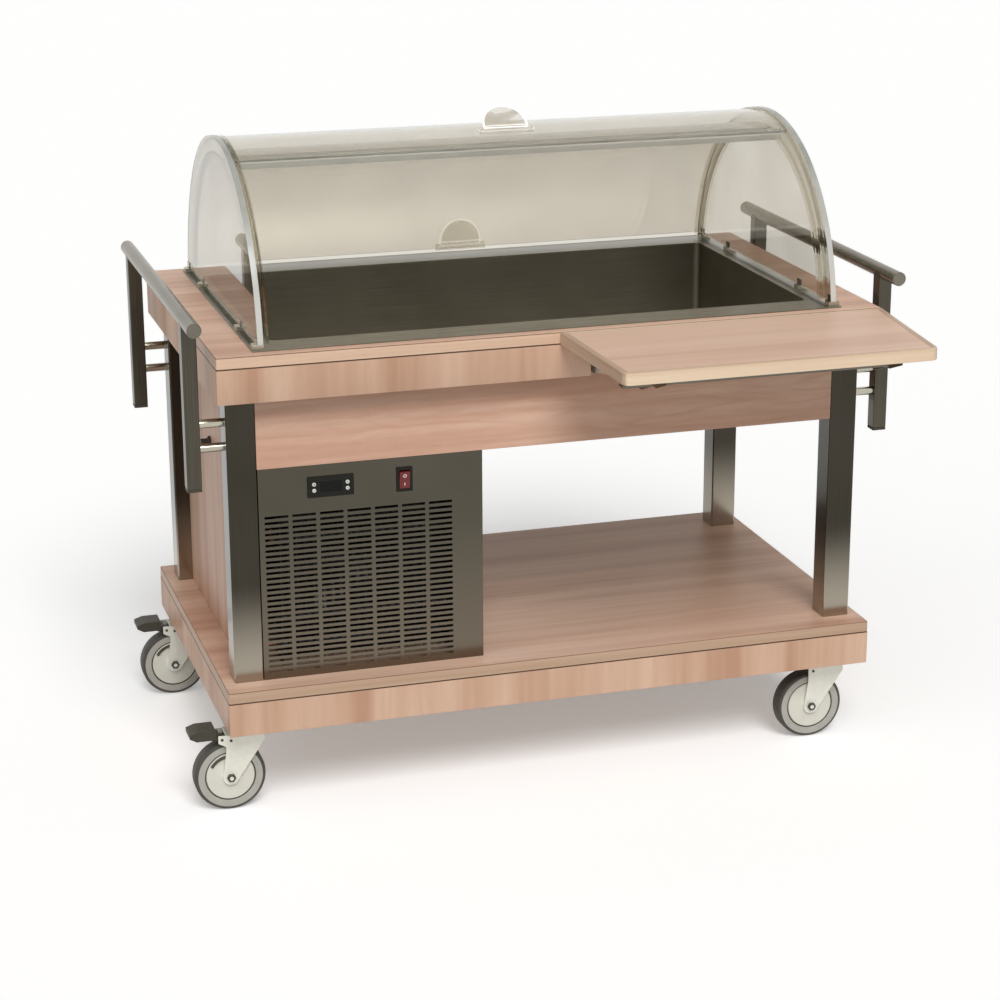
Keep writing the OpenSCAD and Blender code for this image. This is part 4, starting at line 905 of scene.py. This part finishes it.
# Smoked polycarbonate, polished: darker than the bezel and smooth, so it takes a soft reflection.
smoked = mottled("smoked_polycarbonate_window", 12, ("#0b0d0a", "#161914"), Roughness=0.12,
                 Specular_IOR_Level=0.15)
low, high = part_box("controller")
ctrl_x, ctrl_z = (low[0] + high[0]) / 2, (low[2] + high[2]) / 2
window = block("controller_window", (ctrl_x - window_w / 2, low[1] + window_out, ctrl_z - window_h / 2),
               (ctrl_x + window_w / 2, low[1] + window_in, ctrl_z + window_h / 2))
fit(soften(window, 0.0002, 2), "frame", "black_plastic", (smoked,))
# Silicone rubber, moulded: an even pale grey without gloss.
silicone = mottled("pale_grey_silicone", 2, ("#d5d5ce", "#e9e9e4"), Roughness=0.5)
mark_t = 0.0002
dash = Vector((0.0014, mark_t / 2, 0.0004))
for node, shape in (("button_set", "dash"), ("button_up", "caret up"), ("button_down", "caret down"),
                    ("button_defrost", "dot")):
    low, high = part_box(node)
    middle = Vector(((low[0] + high[0]) / 2, low[1], (low[2] + high[2]) / 2))
    button = disc(node + "_cap", (middle.x, (low[1] + high[1]) / 2, middle.z), (high[0] - low[0]) / 2,
                  high[1] - low[1], "Y", 40)
    fit(soften(button, 0.0006, 3), node, "grey_plastic", (silicone,), node)
    if shape == "dot":
        mark = disc(node + "_mark", middle, 0.0012, mark_t, "Y", 20)
    elif shape == "dash":
        mark = block(node + "_mark", middle - dash, middle + dash)
    else:
        mark = disc(node + "_mark", middle, 0.0015, mark_t, "Y", 3)
    if shape == "caret down":
        for point in mark.data.vertices:
            point.co.z = 2 * middle.z - point.co.z
        edit(mark, "FACE", lambda m, out: True)
        bpy.ops.mesh.normals_make_consistent(inside=False)
        bpy.ops.object.mode_set(mode="OBJECT")
    fit(soften(mark, 0.00005, 1), node, "black_plastic", (black_abs,))

# Main switch: a black snap-in frame round a red translucent rocker, marked with the usual bar and
# ring in white.
fit(reworked("switch_frame", "main_switch_frame", 0.0006), "frame", "black_plastic", (black_abs,),
    "switch_frame")
# Red polycarbonate, moulded and a little translucent: a deep dark red with a smooth gloss.
red_plastic = mottled("red_translucent_polycarbonate", 5, ("#6a1416", "#8a1e1f"), Roughness=0.2,
                      Transmission_Weight=0.2)
# White ink, pad printed: flat, and a little worn.
white_ink = mottled("white_pad_print", 1.5, ("#e6d6d2", "#f4ece9"), Roughness=0.5)
rocker = reworked("rocker_switch", "main_switch_rocker", 0.0004, 15)
fit(rocker, "rocker_switch", "red_plastic", (red_plastic,), "rocker_switch")
low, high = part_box("switch_frame")
pivot_in, face_out, mark_up = 0.0055, 0.00725, 0.0075
line_half, mark_half, print_half = 0.0007, 0.0026, 0.00015
pivot = Vector(((low[0] + high[0]) / 2, low[1] + pivot_in, (low[2] + high[2]) / 2))
tilt, face_slant = math.radians(6), math.atan2(1.5, 15)
for name, way in (("bar", -1), ("ring", 1)):
    if name == "bar":
        mark = block("switch_mark_bar", (-line_half, -print_half, -mark_half),
                     (line_half, print_half, mark_half))
    else:
        bpy.ops.object.select_all(action="DESELECT")
        bpy.ops.mesh.primitive_torus_add(major_radius=mark_half, minor_radius=line_half, major_segments=32,
                                         minor_segments=8, rotation=(math.pi / 2, 0, 0))
        mark = settle(bpy.context.object)
        mark.name = mark.data.name = "switch_mark_ring"
        mark.scale = (1, 0.25, 1)
        settle(mark)
    on_face = Matrix.Rotation(tilt, 3, "X") @ Vector((0, -face_out, way * mark_up))
    mark.location = pivot + on_face
    mark.rotation_euler = (tilt + way * face_slant, 0, 0)
    settle(mark)
    if name == "bar":
        soften(mark, 0.0001, 1)
    fit(mark, "rocker_switch", "red_plastic", (white_ink,))
